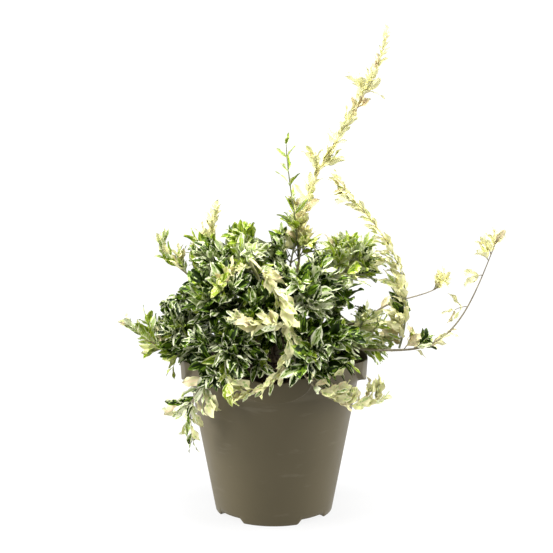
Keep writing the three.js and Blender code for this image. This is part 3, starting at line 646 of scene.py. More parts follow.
def bark_material():
    """Grey-brown bark, split into short upright ridges."""
    material, tree, shader = plain_material("grey_brown_bark", (0.12, 0.085, 0.05), 0.8)
    ridges = add_noise(tree, 420, 5, (1, 1, 0.28))
    stops = [(0.32, (0.045, 0.03, 0.018)), (0.52, (0.14, 0.1, 0.06)), (0.72, (0.26, 0.21, 0.14))]
    tree.links.new(add_ramp(tree, ridges, stops), shader.inputs["Base Color"])
    tree.links.new(add_ramp(tree, ridges, [(0.3, 0.92), (0.7, 0.7)]), shader.inputs["Roughness"])
    add_bump(tree, shader, ridges, 0.6, 0.0006)
    return material


def stem_material(name, dark, pale):
    stops = [(0.35, dark), (0.65, pale)]
    return mottled_material(name, pale, 0.5, (150, 4, (1, 1, 0.5)), stops, (1500, 2), (0.3, 0.0003))


# The pot: its outside is a radius for each angle and height, on a fine grid

def smooth_step(value):
    value = np.clip(value, 0, 1)
    return value * value * (3 - 2 * value)


def from_corner(angle):
    quarter = math.pi / 2
    return angle - np.round(angle / quarter) * quarter


def cone_radius(height):
    return lerp(FOOT_RADIUS, FLAT_RADIUS, np.minimum(height / TAPER_HEIGHT, 1))


def flat_limit(angle):
    return FLAT_RADIUS / np.cos(math.pi / 4 - np.abs(from_corner(angle)))


def rim_radius(angle):
    return np.minimum(CORNER_RADIUS, flat_limit(angle))


def outside_radius(angle, height):
    flare = np.clip((height - FLARE_START) / (POT_HEIGHT - FLARE_START), 0, 1)
    wall = lerp(cone_radius(height), rim_radius(angle) - FLARE_INSET, flare)
    rise = (height - LUG_TOP + LUG_DEPTH) / (POT_HEIGHT - LUG_TOP + LUG_DEPTH)
    lug = np.minimum(CORNER_RADIUS - LUG_DRAFT * (1 - rise), flat_limit(angle))
    across = CORNER_RADIUS * np.sin(from_corner(angle))
    drop = np.maximum(LUG_TOP - height, 0)
    reach = np.hypot(across / LUG_HALF_WIDTH, drop / LUG_DEPTH)
    inside = smooth_step((1 - reach) * LUG_DEPTH / LUG_EDGE)
    return wall + inside * np.maximum(lug - wall, 0)


def rim_height(angle):
    share = np.clip(CORNER_RADIUS * np.sin(from_corner(angle)) / RIM_DIP_HALF_WIDTH, -1, 1)
    return POT_HEIGHT - RIM_DIP * np.cos(share * math.pi / 2) ** 2


def underside(angle, radius):
    """The underside's height: nothing on the feet, and more in the channels between them."""
    turn = from_corner(angle - math.pi / 4 - FEET_TURN)
    across = np.abs(radius * np.sin(turn))
    side = np.clip((CHANNEL_HALF_WIDTH + CHANNEL_SIDE - across) / CHANNEL_SIDE, 0, 1)
    start = np.clip((radius * np.cos(turn) - CHANNEL_START) / (1 * MM), 0, 1)
    return CHANNEL_HEIGHT * side * start


def pot_rings(angle):
    """The pot ring by ring, as (radius, height): underside, outside, rim, inside and floor."""
    rings = [(FOOT_RADIUS * share, underside(angle, FOOT_RADIUS * share)) for share in UNDERSIDE_SHARES]
    foot = underside(angle, FOOT_RADIUS)
    rings.append((FOOT_RADIUS - FOOT_ROUND, foot))
    top = rim_height(angle)
    for share in np.r_[np.linspace(0, 0.8, 26), np.linspace(0.8, 1, 42)[1:]]:
        height = lerp(foot + FOOT_ROUND, top - RIM_ROUND, share)
        rings.append((outside_radius(angle, height), height))
    rim = outside_radius(angle, top)
    for turn in [0.4, 0.8, 1.2, math.pi / 2]:
        inset = RIM_ROUND * (1 - math.cos(turn))
        rings.append((rim - inset, top - RIM_ROUND * (1 - math.sin(turn))))
    rings.append((rim - POT_WALL + RIM_ROUND, top))
    for share in np.r_[np.linspace(1, 0.8, 18), np.linspace(0.8, 0, 8)[1:]]:
        height = lerp(POT_FLOOR, top - RIM_ROUND, share)
        rings.append((outside_radius(angle, height) - POT_WALL, height))
    return rings + [((FOOT_RADIUS - POT_WALL) * share, POT_FLOOR) for share in FLOOR_SHARES]


def make_pot():
    angle = around(POT_SIDES)
    rings = pot_rings(angle)
    corners = [ring_points(angle, radius, height) for radius, height in rings]
    corners.append([(0, 0, 0), (0, 0, POT_FLOOR)])
    build = Build()
    build.add(np.concatenate(corners), closed_faces(len(rings), POT_SIDES))
    pot = build.piece("pot_shell", [pot_material()])
    drill(pot)
    dress(pot, "pot", "pot")


def drill(pot):
    """Cuts the four drain holes."""
    build = Build()
    for quarter in range(4):
        turn = quarter * math.pi / 2 + math.pi / 4 + FEET_TURN
        centre = Vector((math.cos(turn), math.sin(turn), 0)) * DRAIN_DISTANCE
        line = Curve(centre - UP * 5 * MM, centre, centre + UP * 15 * MM)
        tube(build, line, lambda share: DRAIN_RADIUS, 24, 1)
    holes = build.piece("drain_holes", [])
    cut = pot.modifiers.new("drain", "BOOLEAN")
    cut.operation = "DIFFERENCE"
    cut.solver = "EXACT"
    cut.object = holes
    bpy.context.view_layer.objects.active = pot
    with bpy.context.temp_override(object=pot):
        bpy.ops.object.modifier_apply(modifier=cut.name)
    bpy.data.objects.remove(holes)


# The potting mix

def make_soil():
    """A lumpy surface with crumbs of bark and peat, on a body that fills the pot."""
    angle = around(SOIL_SIDES)
    bottom = POT_FLOOR + GAP
    inset = POT_WALL + FLARE_INSET + GAP
    edge = cone_radius(SOIL_EDGE) - inset
    corners = [
        ring_points(angle, 1 * MM, bottom),
        ring_points(angle, cone_radius(bottom) - inset, bottom),
        ring_points(angle, cone_radius(FLARE_START) - inset, FLARE_START),
    ]
    for share in np.linspace(1, 0.03, SOIL_ROWS):
        points = [Vector((math.cos(turn), math.sin(turn), 0)) * edge * share for turn in angle]
        corners.append([(point.x, point.y, soil_height(point, edge)) for point in points])
    rows = len(corners)
    corners.append([(0, 0, bottom), (0, 0, SOIL_CROWN)])
    build = Build()
    build.add(np.concatenate(corners), closed_faces(rows, SOIL_SIDES))
    add_crumbs(build, edge, np.random.RandomState(SOIL_SEED))
    materials = [
        soil_material(),
        crumb_material("peat_crumb", (0.03, 0.016, 0.009), (0.075, 0.04, 0.022)),
        crumb_material("bark_chip", (0.12, 0.05, 0.025), (0.24, 0.12, 0.06)),
    ]
    dress(build.piece("potting_mix_surface", materials), "potting_mix", "potting_mix")


def soil_height(point, edge):
    away = math.hypot(point.x, point.y) / edge
    lump = sum(share * noise.noise(point * scale) for scale, share in SOIL_NOISE)
    level = lerp(SOIL_CROWN, SOIL_EDGE, clamp(away * 1.3 - 0.3, 0, 1))
    return level - 0.6 * MM + lump * SOIL_LUMP * clamp((1.02 - away) * 12, 0.1, 1)


def add_crumbs(build, edge, random):
    """Small rough lumps, each an octahedron split once and pushed about."""
    shape, faces = rough_ball()
    for _ in range(CRUMBS):
        turn = random.uniform(0, 2 * math.pi)
        away = edge * math.sqrt(random.uniform(0.02, 0.93))
        place = Vector((math.cos(turn) * away, math.sin(turn) * away, 0))
        size = random.uniform(*CRUMB_SIZES) * MM
        stretch = random.uniform(*CRUMB_STRETCH, 3) * size
        if random.uniform() < SPLINTERS:
            stretch *= SPLINTER
        place.z = soil_height(place, edge) + size * 0.2
        tilt = Quaternion(random.uniform(-1, 1, 4)).normalized().to_matrix()
        dents = random.uniform(-CRUMB_ROUGHNESS, CRUMB_ROUGHNESS, (len(shape), 1))
        points = shape * (1 + dents) * stretch
        slot = 2 if random.uniform() < BARK_CHIPS else 1
        build.add(points @ np.array(tilt).T + np.array(place), faces, slot)


def rough_ball():
    """The corners and triangles of a ball of 32 faces."""
    points = [Vector(p) for p in [(1, 0, 0), (-1, 0, 0), (0, 1, 0), (0, -1, 0), (0, 0, 1), (0, 0, -1)]]
    faces = [(0, 2, 4), (2, 1, 4), (1, 3, 4), (3, 0, 4), (2, 0, 5), (1, 2, 5), (3, 1, 5), (0, 3, 5)]
    middles = {}

    def middle(a, b):
        key = (min(a, b), max(a, b))
        if key not in middles:
            middles[key] = len(points)
            points.append((points[a] + points[b]).normalized())
        return middles[key]

    split = []
    for a, b, c in faces:
        ab, bc, ca = middle(a, b), middle(b, c), middle(c, a)
        split += [(a, ab, ca), (ab, b, bc), (ca, bc, c), (ab, bc, ca)]
    return np.array(points), np.array(split)


# The trunk and its limbs

def trunk_axis(height):
    return Vector((TRUNK_LEAN * height, 0, TRUNK_BASE + height))


def socket(ring, turn):
    """Where a limb leaves the trunk's side or its top, and which way."""
    out = Vector((math.cos(turn), math.sin(turn), 0))
    direction = out * math.cos(ring["rise"]) + UP * math.sin(ring["rise"])
    if ring is TOP_RING:
        height = TRUNK_HEIGHT + GAP + LIMB_RADIUS * math.cos(ring["rise"])
        return trunk_axis(height) + out * ring["radius"], direction
    distance = TRUNK_RADIUS + 2 * GAP + LIMB_RADIUS * math.sin(ring["rise"])
    return trunk_axis(ring["height"]) + out * distance, direction


def assign_sockets(boughs):
    """Spreads the limbs of each ring evenly round the trunk, by bearing."""
    for ring in [LOW_RING, MIDDLE_RING, TOP_RING]:
        members = sorted((b for b in boughs if b["ring"] is ring), key=lambda b: b["bearing"])
        step = 2 * math.pi / len(members)
        offset = sum(b["bearing"] - i * step for i, b in enumerate(members)) / len(members)
        for i, bough in enumerate(members):
            bough["place"], bough["direction"] = socket(ring, offset + i * step)


def bough_curve(bough):
    place, tip = bough["place"], bough["tip"]
    bend = (tip - place).length * BOUGH_BEND
    return Curve(place, place + bough["direction"] * bend, tip - bough["heading"] * bend, tip)


def side_start(limb, share, towards):
    """Where a shoot off another limb's side starts, just clear of that limb."""
    place, along = limb.at(share), limb.along(share)
    heading = (towards - place).normalized()
    lean = abs(heading.dot(along))
    side = (heading - along * heading.dot(along)).normalized()
    return place + side * (LIMB_TIP_RADIUS * (1 + lean) + GAP)


def mass_bough(mass):
    trunk_top = trunk_axis(TRUNK_HEIGHT)
    heading = (mass["centre"] - trunk_top).normalized()
    tip = trunk_top.lerp(mass["centre"], BOUGH_SHARE)
    end = mass["centre"] + heading * MASS_CORE * 0.35 + UP * 4 * MM
    mass["stem"] = Curve(tip + heading * GAP, mass["centre"], end)
    return {"node": "bough_" + mass["name"], "ring": mass["ring"], "tip": tip, "heading": heading, "wood": 0}


def shoot_bough(shoot):
    heading = shoot["curve"].along(0)
    tip = shoot["curve"].at(0) - heading * GAP
    return {
        "node": "shoot_bough_" + shoot["name"], "ring": shoot["ring"], "tip": tip, "heading": heading,
        "wood": shoot["stem"][0],
    }


def lay_out():
    """The masses, the shoots and the boughs with their curves."""
    masses = []
    for i, (name, ring, place, mix) in enumerate(MASSES):
        centre = Vector(place) * MM
        masses.append({"name": name, "ring": ring, "centre": centre, "mix": mix, "seed": 11 + i})
    boughs = [mass_bough(mass) for mass in masses]
    for i, shoot in enumerate(SHOOTS):
        shoot["seed"] = 211 + i
        shoot["curve"] = Curve(*[Vector(point) * MM for point in shoot["bend"]])
        if "ring" in shoot:
            boughs.append(shoot_bough(shoot))
    for bough in boughs:
        bough["bearing"] = math.atan2(bough["tip"].y, bough["tip"].x)
    assign_sockets(boughs)
    for bough in boughs:
        bough["curve"] = bough_curve(bough)
    for shoot in SHOOTS:
        if "from" in shoot:
            carrier = next(b for b in boughs if b["node"] == "shoot_bough_" + shoot["from"])
            points = shoot["curve"].points
            start = side_start(carrier["curve"], shoot["share"], points[1])
            shoot["curve"] = Curve(start, *points[1:])
    return masses, boughs


def bark_relief(depth):
    """Ridges that run along the limb, and knobs."""

    def relief(point, share):
        across, up = BARK_RIDGES
        ridge = noise.noise(Vector((point.x * across, point.y * across, point.z * up)))
        knob = noise.noise(point * BARK_KNOBS)
        return depth * (ridge + 0.8 * knob)

    return relief


def make_trunk():
    heights = [height * MM for _, height in TRUNK_PROFILE]
    radii = [radius * MM for radius, _ in TRUNK_PROFILE]
    axis = Curve(trunk_axis(0), trunk_axis(TRUNK_HEIGHT / 2), trunk_axis(TRUNK_HEIGHT))
    build = Build()
    radius = lambda share: float(np.interp(share * TRUNK_HEIGHT, heights, radii))
    tube(build, axis, radius, 56, 56, bark_relief(0.45 * MM))
    dress(build.piece("trunk_bark", [bark_material()]), "bark", "trunk")


def make_boughs(boughs):
    """The boughs in the bush, barky, and those that carry the shoots, smoother and in their wood."""
    for name, prefix, slot, materials, depth in [
        ("bough_bark", "bough_", "bark", [bark_material()], 0.16 * MM),
        ("shoot_bough_stems", "shoot_bough_", "green_stem", STEMS, 0.07 * MM),
    ]:
        build = Build()
        members = [bough for bough in boughs if bough["node"].startswith(prefix)]
        for bough in members:
            curve, radius = bough["curve"], taper(LIMB_RADIUS, LIMB_TIP_RADIUS)
            steps = max(12, int(curve.length / (2 * MM)))
            tube(build, curve, radius, 10, steps, bark_relief(depth), lambda share: bough["wood"])
        dress(build.piece(name, materials), slot, *[bough["node"] for bough in members])


# The space that each piece of foliage keeps to

def clear_of_pot(points):
    """True where a piece with these points is clear of the pot and the mix in it."""
    if all(point.z > POT_HEIGHT + 1 * MM for point in points):
        return True
    radii = [math.hypot(point.x, point.y) for point in points]
    walls = [rim_radius(math.atan2(point.y, point.x)) for point in points]
    inside = FLAT_RADIUS - POT_WALL - 2 * MM
    return (
        all(radius > CORNER_RADIUS + 1 * MM for radius in radii)
        or all(point.z > SOIL_CROWN + 1 * MM and radius < inside for point, radius in zip(points, radii))
        or all(radius > wall + 1.5 * MM for radius, wall in zip(radii, walls))
    )


def clear_of_sky(point):
    """True where a point leaves the sky's gaps open and isn't too low."""
    level = point.z + point.y * SKY_FALL
    gaps = (math.hypot((point.x / MM - x) / wide, (level / MM - z) / high) for x, z, wide, high in SKY)
    return level > LOWEST_LEVEL and min(gaps) > 1


def inside_bush(point):
    height = max(point.z - BUSH_BASE, 0)
    shares = [point.x / BUSH_HALF_WIDTH, point.y / BUSH_HALF_DEPTH, height / BUSH_HEIGHT]
    return sum(abs(share) ** 3 for share in shares) < 1


def inside_mass(point, mass, masses):
    """True where a point is in a mass's space: near it, and on its side of the planes between masses."""
    distance = (point - mass["centre"]).length
    if distance > MASS_REACH or (distance > MASS_CORE and not inside_bush(point)):
        return False
    return all(
        other is mass or (point - other["centre"]).length_squared - distance * distance
        > GAP * 2 * (other["centre"] - mass["centre"]).length
        for other in masses
    )


class Limbs:
    """Points along every limb, to keep leaves off them."""

    def __init__(self, curves):
        self.points = []
        for owner, curve, start, end in curves:
            count = math.ceil(curve.length / (2.5 * MM))
            for i in range(count + 1):
                self.points.append((curve.at(i / count), lerp(start, end, i / count), owner))
        self.tree = KDTree(len(self.points))
        for i, (point, _, _) in enumerate(self.points):
            self.tree.insert(point, i)
        self.tree.balance()

    def clear(self, start, end, half_width, owner):
        reach = half_width + LIMB_RADIUS + GAP
        middle = (start + end) / 2
        span = end - start
        for _, i, _ in self.tree.find_range(middle, span.length / 2 + reach):
            point, radius, holder = self.points[i]
            if holder == owner:
                continue
            share = clamp((point - start).dot(span) / span.length_squared, 0, 1)
            if (start + span * share - point).length < radius + half_width + GAP:
                return False
        return True

    def clear_of_leaf(self, leaf, tip, owner):
        return self.clear(leaf["root"], tip, leaf["length"] * LEAF_SHAPE * 0.3, owner)


# Leaves

LEAF_STATIONS = np.array([0, 0.05, 0.12, 0.22, 0.32, 0.42, 0.52, 0.62, 0.72, 0.82, 0.92, 1])
LEAF_COLUMNS = 9
LEAF_HALF = LEAF_COLUMNS // 2
LEAF_LINES = [(0.26, 0.1), (0.53, 0.1), (0.8, 0.08)]  # from the midrib out, and how far out they stray
LEAF_FORM = [(0.15, 0.62), (-0.05, 0.38), (-0.4, 0.4), (0, 2 * math.pi)]  # fold, droop, twist, wave's start
YOUNG_FROM = 0.55  # of a twig's pairs, from where its second kind of leaf grows
YOUNG_SIZE = 0.66
LEAF_SIZES = (0.85, 1.12)
LEAF_LEANS = (1.15, 0.42)  # at a twig's foot and its tip
LEAF_CROWDING = 0.85  # below 1, pairs come closer towards the tip
TURN_PLAY = 0.6
LEAN_PLAY = 0.35
ROLL_PLAY = 1.4
SIZE_PLAY = 0.3  # for the wilder ones
OUTWARD_PULL = 0.3
STALK = 0.05
STALK_WIDTH = 0.07
LEAF_POWERS = (0.72, 1.0)
WIDTH_PLAY = (0.8, 1.2)
WAVES = 11
WAVE_SHIFT = 1.3  # between a leaf's halves


def leaf_outline(base, tip):
    """Half the width of each leaf, 1 at its widest: a short stalk and a blade, blunter for lower powers."""
    share = LEAF_STATIONS[None, :, None]
    blade = np.clip((share - STALK) / (1 - STALK), 0, 1)
    widest = base / (base + tip)
    shape = blade**base * (1 - blade) ** tip / (widest**base * (1 - widest) ** tip)
    return np.maximum(shape, STALK_WIDTH * (1 - share))


def leaf_at(place, along, turn, lean, length, roll, kind, drift):
    """One leaf of a pair. It turns its upper face outwards and to the sky."""
    outwards = (place - BUSH_HEART).normalized()
    direction = (branch_off(along, turn, lean) + outwards * OUTWARD_PULL + drift).normalized()
    face = outwards + UP * 0.5 + along * 0.5
    face = (face - direction * face.dot(direction)).normalized()
    face.rotate(Quaternion(direction, roll))
    return {"root": place, "direction": direction, "face": face, "length": length, "kind": kind}


def leaves_along(curve, pairs, reach, length, kinds, random, leans=LEAF_LEANS, wild=1, drift=NO_DRIFT):
    """Pairs of leaves along a twig, each across the one before, closer and more upright to the tip."""
    leaves = []
    start, last = reach
    first_turn = random() * math.pi
    for i in range(pairs):
        share = min(start + (last - start) * ((i + 0.5) / (pairs - 0.5)) ** LEAF_CROWDING, last)
        place, along = curve.at(share), curve.along(share)
        young = i / pairs
        size = length * lerp(1, YOUNG_SIZE, young**2) * lerp(*LEAF_SIZES, random())
        for half in [0, math.pi]:
            turn = first_turn + i * math.pi / 2 + half + (random() - 0.5) * TURN_PLAY * wild
            lean = lerp(*leans, share) + (random() - 0.5) * LEAN_PLAY * wild
            own = size * (1 + (random() - 0.5) * SIZE_PLAY * (wild - 1))
            kind = kinds[0] if young < YOUNG_FROM else kinds[1]
            roll = (random() - 0.5) * ROLL_PLAY * wild
            leaves.append(leaf_at(place, along, turn, lean, own, roll, kind, drift))
    return leaves


def leaf_points(leaf):
    across = leaf["face"].cross(leaf["direction"]).normalized()
    middle = leaf["root"] + leaf["direction"] * leaf["length"] * 0.45
    tip = leaf["root"] + leaf["direction"] * leaf["length"]
    half = leaf["length"] * LEAF_SHAPE / 2
    return [middle + across * half, middle - across * half, tip, middle]


def placed_leaves(leaves, fits):
    """The leaves that fit, each at its full size, or smaller where only that fits."""
    placed = []
    for leaf in leaves:
        for scale in FITTING_SIZES:
            smaller = {**leaf, "length": leaf["length"] * scale}
            if fits(smaller, leaf_points(smaller)):
                placed.append(smaller)
                break
    return placed


def leaf_slots(kinds, random):
    """The colour of each face. Streaks run out and to the tip, as veins do, and dapples lengthwise."""
    names = list(LEAF_COLOURS)
    rows, half = len(LEAF_STATIONS) - 1, LEAF_HALF
    column = np.arange(2 * half)
    side = column // half
    away = np.where(side == 0, half - 1 - column, column - half)
    row = np.arange(rows)[:, None]
    slots = np.zeros((len(kinds), rows, 2 * half), np.int32)
    for i, kind in enumerate(kinds):
        middle, dapple, dappled, inner, edge, streaked = LEAF_KINDS[kind][:6]
        veins = random.uniform(size=(2, rows + half - 1))
        level = veins[side, row + half - 1 - away] + random.uniform(-0.1, 0.1, (rows, 2 * half))
        dapples = np.repeat(random.uniform(size=(rows // 3 + 1, 2 * half)), 3, 0)[:rows]
        ground = np.where(dapples < dappled, names.index(dapple), names.index(middle))
        streak = np.where(away < half / 2, names.index(inner), names.index(edge))
        slots[i] = np.where(level < np.array(streaked)[away], streak, ground)
    return slots


def leaf_mesh(build, leaves, random):
    """All the leaves of a piece: folded along the midrib, curved back and a little wavy."""
    count = len(leaves)
    rows, columns = len(LEAF_STATIONS), LEAF_COLUMNS
    keys = ["root", "direction", "face"]
    root, direction, face = (np.array([leaf[key] for leaf in leaves]) for key in keys)
    across = np.cross(face, direction)
    length = np.array([leaf["length"] for leaf in leaves])[:, None, None]
    width, crimp = np.array([LEAF_KINDS[leaf["kind"]][6:] for leaf in leaves]).T[..., None, None]
    width = width * random.uniform(*WIDTH_PLAY, (count, 1, 1))
    lines = [place + random.uniform(-0.1, most, (count, rows, 2)) for place, most in LEAF_LINES]
    edge = 1 - random.uniform(0, 2, (count, rows, 2)) * crimp
    half_row = np.stack([edge, *lines[::-1]], 2)
    spread = np.concatenate([-half_row[..., 0], np.zeros((count, rows, 1)), half_row[..., ::-1, 1]], 2)
    share = LEAF_STATIONS[None, :, None]
    powers = random.uniform(*LEAF_POWERS, (2, count, 1, 1))
    y = spread * leaf_outline(*powers) * width * length / 2
    fold, droop, twist, phase = (random.uniform(*limits, (count, 1, 1)) for limits in LEAF_FORM)
    wave = np.sin(share * WAVES + phase + np.sign(spread) * WAVE_SHIFT) * spread**2 * crimp
    x = share * length * (1 - droop**2 * share**2 * 0.5)
    z = np.tan(fold) * np.abs(y) - droop * share**2 * length + (wave * length) + twist * share * y
    x, y, z = np.broadcast_arrays(x, y, z)
    corners = (
        root[:, None, None]
        + direction[:, None, None] * x[..., None]
        + across[:, None, None] * y[..., None]
        + face[:, None, None] * z[..., None]
    ).reshape(-1, 3)
    one_leaf = grid_faces(rows, columns)
    faces = (one_leaf[None] + np.arange(count)[:, None, None] * rows * columns).reshape(-1, 4)
    build.add(corners, faces, leaf_slots([leaf["kind"] for leaf in leaves], random).reshape(-1))


# Foliage

def side_branch(stem, share, turn, lean, length, habit, fits):
    """A twig off a stem, bending up, and shortened until it fits. None if it never does."""
    place = stem.at(share)
    direction = branch_off(stem.along(share), turn, lean)
    rise, leaf, part, shorter = habit
    while length > SHORTEST_TWIG:
        end = place + direction * length + UP * length * rise
        if fits(place.lerp(end, 0.3), end, end + direction * leaf * part):
            return Curve(place, place + direction * length * TWIG_BEND, end)
        length *= shorter
    return None


def main_twigs(stem, random, fits):
    twigs = []
    for i in range(MASS_TWIGS):
        share = lerp(*MAIN_SHARES, i / (MASS_TWIGS - 1))
        turn = i * GOLDEN_ANGLE + random()
        lean = lerp(*MAIN_LEANS, share)
        twigs.append(side_branch(stem, share, turn, lean, MAIN_LENGTH, MAIN_HABIT, fits))
    return [twig for twig in twigs if twig]


def fine_twigs(stem, random, fits):
    """Short twigs off a stem or a main twig, spread round it."""
    twigs = []
    for i in range(FINE_TWIGS):
        share = lerp(*FINE_SHARES, (i + 0.5) / FINE_TWIGS)
        turn = i * GOLDEN_ANGLE + random() * 0.8
        length = FINE_LENGTH * lerp(*FINE_LENGTHS, random())
        lean = lerp(*FINE_LEANS, share)
        twigs.append(side_branch(stem, share, turn, lean, length, FINE_HABIT, fits))
    return [twig for twig in twigs if twig]


def mass_space(mass, masses, limbs):
    """Tests whether a twig, and whether a leaf, keeps to the mass's space."""

    def fits_twig(start, end, leaf_tip):
        return (
            inside_mass(leaf_tip, mass, masses)
            and clear_of_sky(end)
            and clear_of_sky(leaf_tip)
            and clear_of_pot([start, end])
            and limbs.clear(start, end, TWIG_RADIUS, mass["name"])
        )

    def fits_leaf(leaf, points):
        return (
            all(inside_mass(point, mass, masses) for point in points)
            and all(clear_of_sky(point) for point in points[2:])
            and clear_of_pot(points)
            and limbs.clear_of_leaf(leaf, points[2], mass["name"])
        )

    return fits_twig, fits_leaf


def grow_mass(mass, masses, limbs, wood):
    """Grows a mass's twigs into wood and returns its leaves."""
    random = seeded(mass["seed"])
    stem, mix = mass["stem"], mass["mix"]
    fits_twig, fits_leaf = mass_space(mass, masses, limbs)
    tube(wood, stem, taper(*STEM_RADII), 6, 10)
    axes = [stem, *main_twigs(stem, random, fits_twig)]
    for twig in axes[1:]:
        tube(wood, twig, taper(*MAIN_TWIG_RADII), 5, 8)
    fine = [twig for axis in axes for twig in fine_twigs(axis, random, fits_twig)]
    leaves = []
    for axis in axes + fine:
        pairs = int(clamp(round(axis.length * 0.8 / NODE_STEP), 2, 6)) + 1
        kinds = [pick(mix, random()), pick(mix, random())]
        if kinds[1] == "dark" and random() < 0.5:
            kinds[1] = "fresh"
        bare = FINE_BARE_SHARE if axis in fine else BARE_SHARE
        wanted = leaves_along(axis, pairs, (bare, TIP_SHARE), LEAF, kinds, random)
        placed = placed_leaves(wanted, fits_leaf)
        if placed and axis in fine:
            tube(wood, axis, taper(*FINE_TWIG_RADII), 4, 5)
        leaves += placed
    for share, end, pairs, length, own_mix in SPRAYS.get(mass["name"], []):
        spray = side_twig(stem, share, Vector(end) * MM)
        tube(wood, spray, taper(*SPRAY_RADII), 6, 12)
        leaves += mixed_leaves(spray, pairs, SPRAY_REACH, length * MM, own_mix, random, SPRAY_LEANS)
    return leaves


def side_twig(stem, share, end):
    """A twig off a stem's side to a named end, that starts out along the stem."""
    place = stem.at(share)
    span = end - place
    return Curve(place, place + span * 0.5 + stem.along(share) * span.length * 0.2, end)


def mixed_leaves(curve, pairs, reach, length, mix, random, leans, drift=NO_DRIFT):
    """Leaves along a twig, each of a kind drawn from the mix, and wilder than those of the bush."""
    leaves = leaves_along(curve, pairs, reach, length, ["", ""], random, leans, 2, drift)
    for leaf in leaves:
        leaf["kind"] = pick(mix, random())
    return leaves


def grow_shoot(shoot, limbs, stems):
    """Grows a long shoot's stem and sprigs into stems and returns their leaves."""
    random = seeded(shoot["seed"])
    curve, mix, length = shoot["curve"], shoot["mix"], shoot["leaf"] * MM
    drift = Vector(shoot.get("drift", NO_DRIFT))
    steps = max(16, int(curve.length / (4 * MM)))
    old, young, change = shoot["stem"]
    tube(stems, curve, taper(*SHOOT_RADII), 8, steps, slot=lambda share: young if share > change else old)
    reach = (SHOOT_START, shoot.get("last", 1))
    wanted = mixed_leaves(curve, shoot["pairs"], reach, length, mix, random, shoot["lean"], drift)
    for share, end, pairs, *own in shoot["sprigs"]:
        sprig = side_twig(curve, share, Vector(end) * MM)
        tube(stems, sprig, taper(*SPRIG_RADII), 6, 8, slot=lambda share: young)
        leaves = (SPRIG_REACH, length, own[0] if own else mix, random, SPRIG_LEANS)
        wanted += mixed_leaves(sprig, pairs, *leaves, drift * 0.5)

    def fits_leaf(leaf, points):
        return clear_of_pot(points) and limbs.clear_of_leaf(leaf, points[2], shoot["name"])

    return placed_leaves(wanted, fits_leaf)


def leaf_piece(name, leaves, seed, materials, slot, node):
    build = Build()
    leaf_mesh(build, leaves, np.random.RandomState(seed))
    dress(build.piece(name, materials), slot, node)


def make_foliage(masses, boughs):
    curves = [(mass["name"], mass["stem"], *STEM_RADII) for mass in masses]
    curves += [(shoot["name"], shoot["curve"], *STEM_RADII) for shoot in SHOOTS]
    curves += [(bough["node"], bough["curve"], LIMB_RADIUS, LIMB_TIP_RADIUS) for bough in boughs]
    limbs = Limbs(curves)
    materials = [leaf_material(name, colour) for name, colour in LEAF_COLOURS.items()]
    wood, stems = Build(), Build()
    for mass in masses:
        name, leaves = mass["name"], grow_mass(mass, masses, limbs, wood)
        leaf_piece("leaves_" + name, leaves, mass["seed"], materials, "variegated_leaves", "foliage_" + name)
    for shoot in SHOOTS:
        name, leaves = shoot["name"], grow_shoot(shoot, limbs, stems)
        slot = "variegated_leaves" if name in GREEN_SHOOTS else "cream_leaves"
        leaf_piece("leaves_shoot_" + name, leaves, shoot["seed"], materials, slot, "shoot_" + name)
    dress(wood.piece("twigs", [TWIG_WOOD]), "green_stem", *["foliage_" + mass["name"] for mass in masses])
    dress(stems.piece("shoot_stems", STEMS), "green_stem", *["shoot_" + shoot["name"] for shoot in SHOOTS])


# The floor, the light and the camera

LOOK_AT = Vector((2.4, 0, 219.2)) * MM
CAMERA_DISTANCE = 2.2
CAMERA_RISE = math.radians(14.5)
CAMERA_LENS = 159.1  # for a picture as wide as it is high
WORLD_LIGHT = 0.18
WHITE_BACK = 1.1
FLOOR_RADIUS = 0.62
FLOOR_SIDES = 96
FLOOR_SHADE = 0.1
FLOOR_GLOW = 0.86


def make_floor():
    material, _, shader = plain_material("pale_floor", (FLOOR_SHADE, FLOOR_SHADE, FLOOR_SHADE), 0.8)
    shader.inputs["Emission Color"].default_value = (1, 1, 1, 1)
    shader.inputs["Emission Strength"].default_value = FLOOR_GLOW
    ring = ring_points(around(FLOOR_SIDES), FLOOR_RADIUS, 0)
    side = np.arange(FLOOR_SIDES)
    faces = np.stack([side * 0 + FLOOR_SIDES, side, (side + 1) % FLOOR_SIDES], 1)
    build = Build()
    build.add(np.concatenate([ring, [(0, 0, 0)]]), faces)
    build.piece("floor", [material])


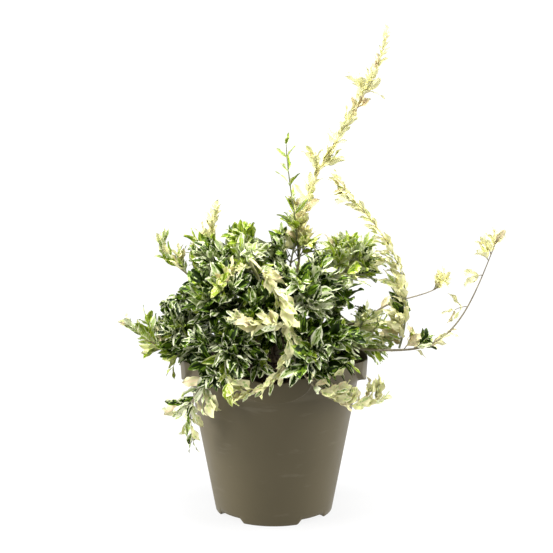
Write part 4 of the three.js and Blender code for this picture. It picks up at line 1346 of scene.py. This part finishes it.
def make_light(name, place, size, power):
    """A soft light of this size, turned to the plant."""
    data = bpy.data.lights.new(name, "AREA")
    data.shape = "RECTANGLE"
    data.size, data.size_y = size
    data.energy = power
    light = bpy.data.objects.new(name, data)
    light.location = place
    light.rotation_euler = (LOOK_AT - Vector(place)).to_track_quat("-Z", "Y").to_euler()
    bpy.context.scene.collection.objects.link(light)


def make_world():
    """Faint light from all round, and plain white behind the plant."""
    world = bpy.data.worlds.new("studio")
    bpy.context.scene.world = world
    world.use_nodes = True
    tree = world.node_tree
    tree.nodes.clear()
    output = tree.nodes.new("ShaderNodeOutputWorld")
    mix = tree.nodes.new("ShaderNodeMixShader")
    path = tree.nodes.new("ShaderNodeLightPath")
    tree.links.new(path.outputs["Is Camera Ray"], mix.inputs["Fac"])
    for place, strength in [(1, WORLD_LIGHT), (2, WHITE_BACK)]:
        background = tree.nodes.new("ShaderNodeBackground")
        background.inputs["Color"].default_value = (1, 1, 1, 1)
        background.inputs["Strength"].default_value = strength
        tree.links.new(background.outputs[0], mix.inputs[place])
    tree.links.new(mix.outputs[0], output.inputs["Surface"])


def make_camera():
    data = bpy.data.cameras.new("camera")
    data.lens = CAMERA_LENS
    camera = bpy.data.objects.new("camera", data)
    back = Vector((0, -math.cos(CAMERA_RISE), math.sin(CAMERA_RISE)))
    camera.location = LOOK_AT + back * CAMERA_DISTANCE
    camera.rotation_euler = (-back).to_track_quat("-Z", "Y").to_euler()
    bpy.context.scene.collection.objects.link(camera)
    bpy.context.scene.camera = camera


TWIG_WOOD = stem_material("twig_wood", (0.26, 0.26, 0.15), (0.42, 0.42, 0.27))
STEMS = [
    stem_material("young_stem", (0.15, 0.155, 0.075), (0.28, 0.29, 0.16)),
    stem_material("brown_stem", (0.17, 0.14, 0.085), (0.3, 0.26, 0.17)),
    stem_material("pale_stem", (0.5, 0.45, 0.22), (0.7, 0.64, 0.36)),
]

make_camera()
make_world()
make_floor()
make_light("left_softbox", (-1.8, -0.2, 0.5), (2.0, 1.2), 63)
make_light("right_softbox", (1.8, 0.0, 0.5), (2.0, 1.2), 46)
make_light("top_softbox", (0.0, -0.15, 1.6), (1.1, 1.1), 54)
bpy.context.scene.view_settings.view_transform = "Standard"

make_pot()
make_soil()
masses, boughs = lay_out()
make_trunk()
make_boughs(boughs)
make_foliage(masses, boughs)
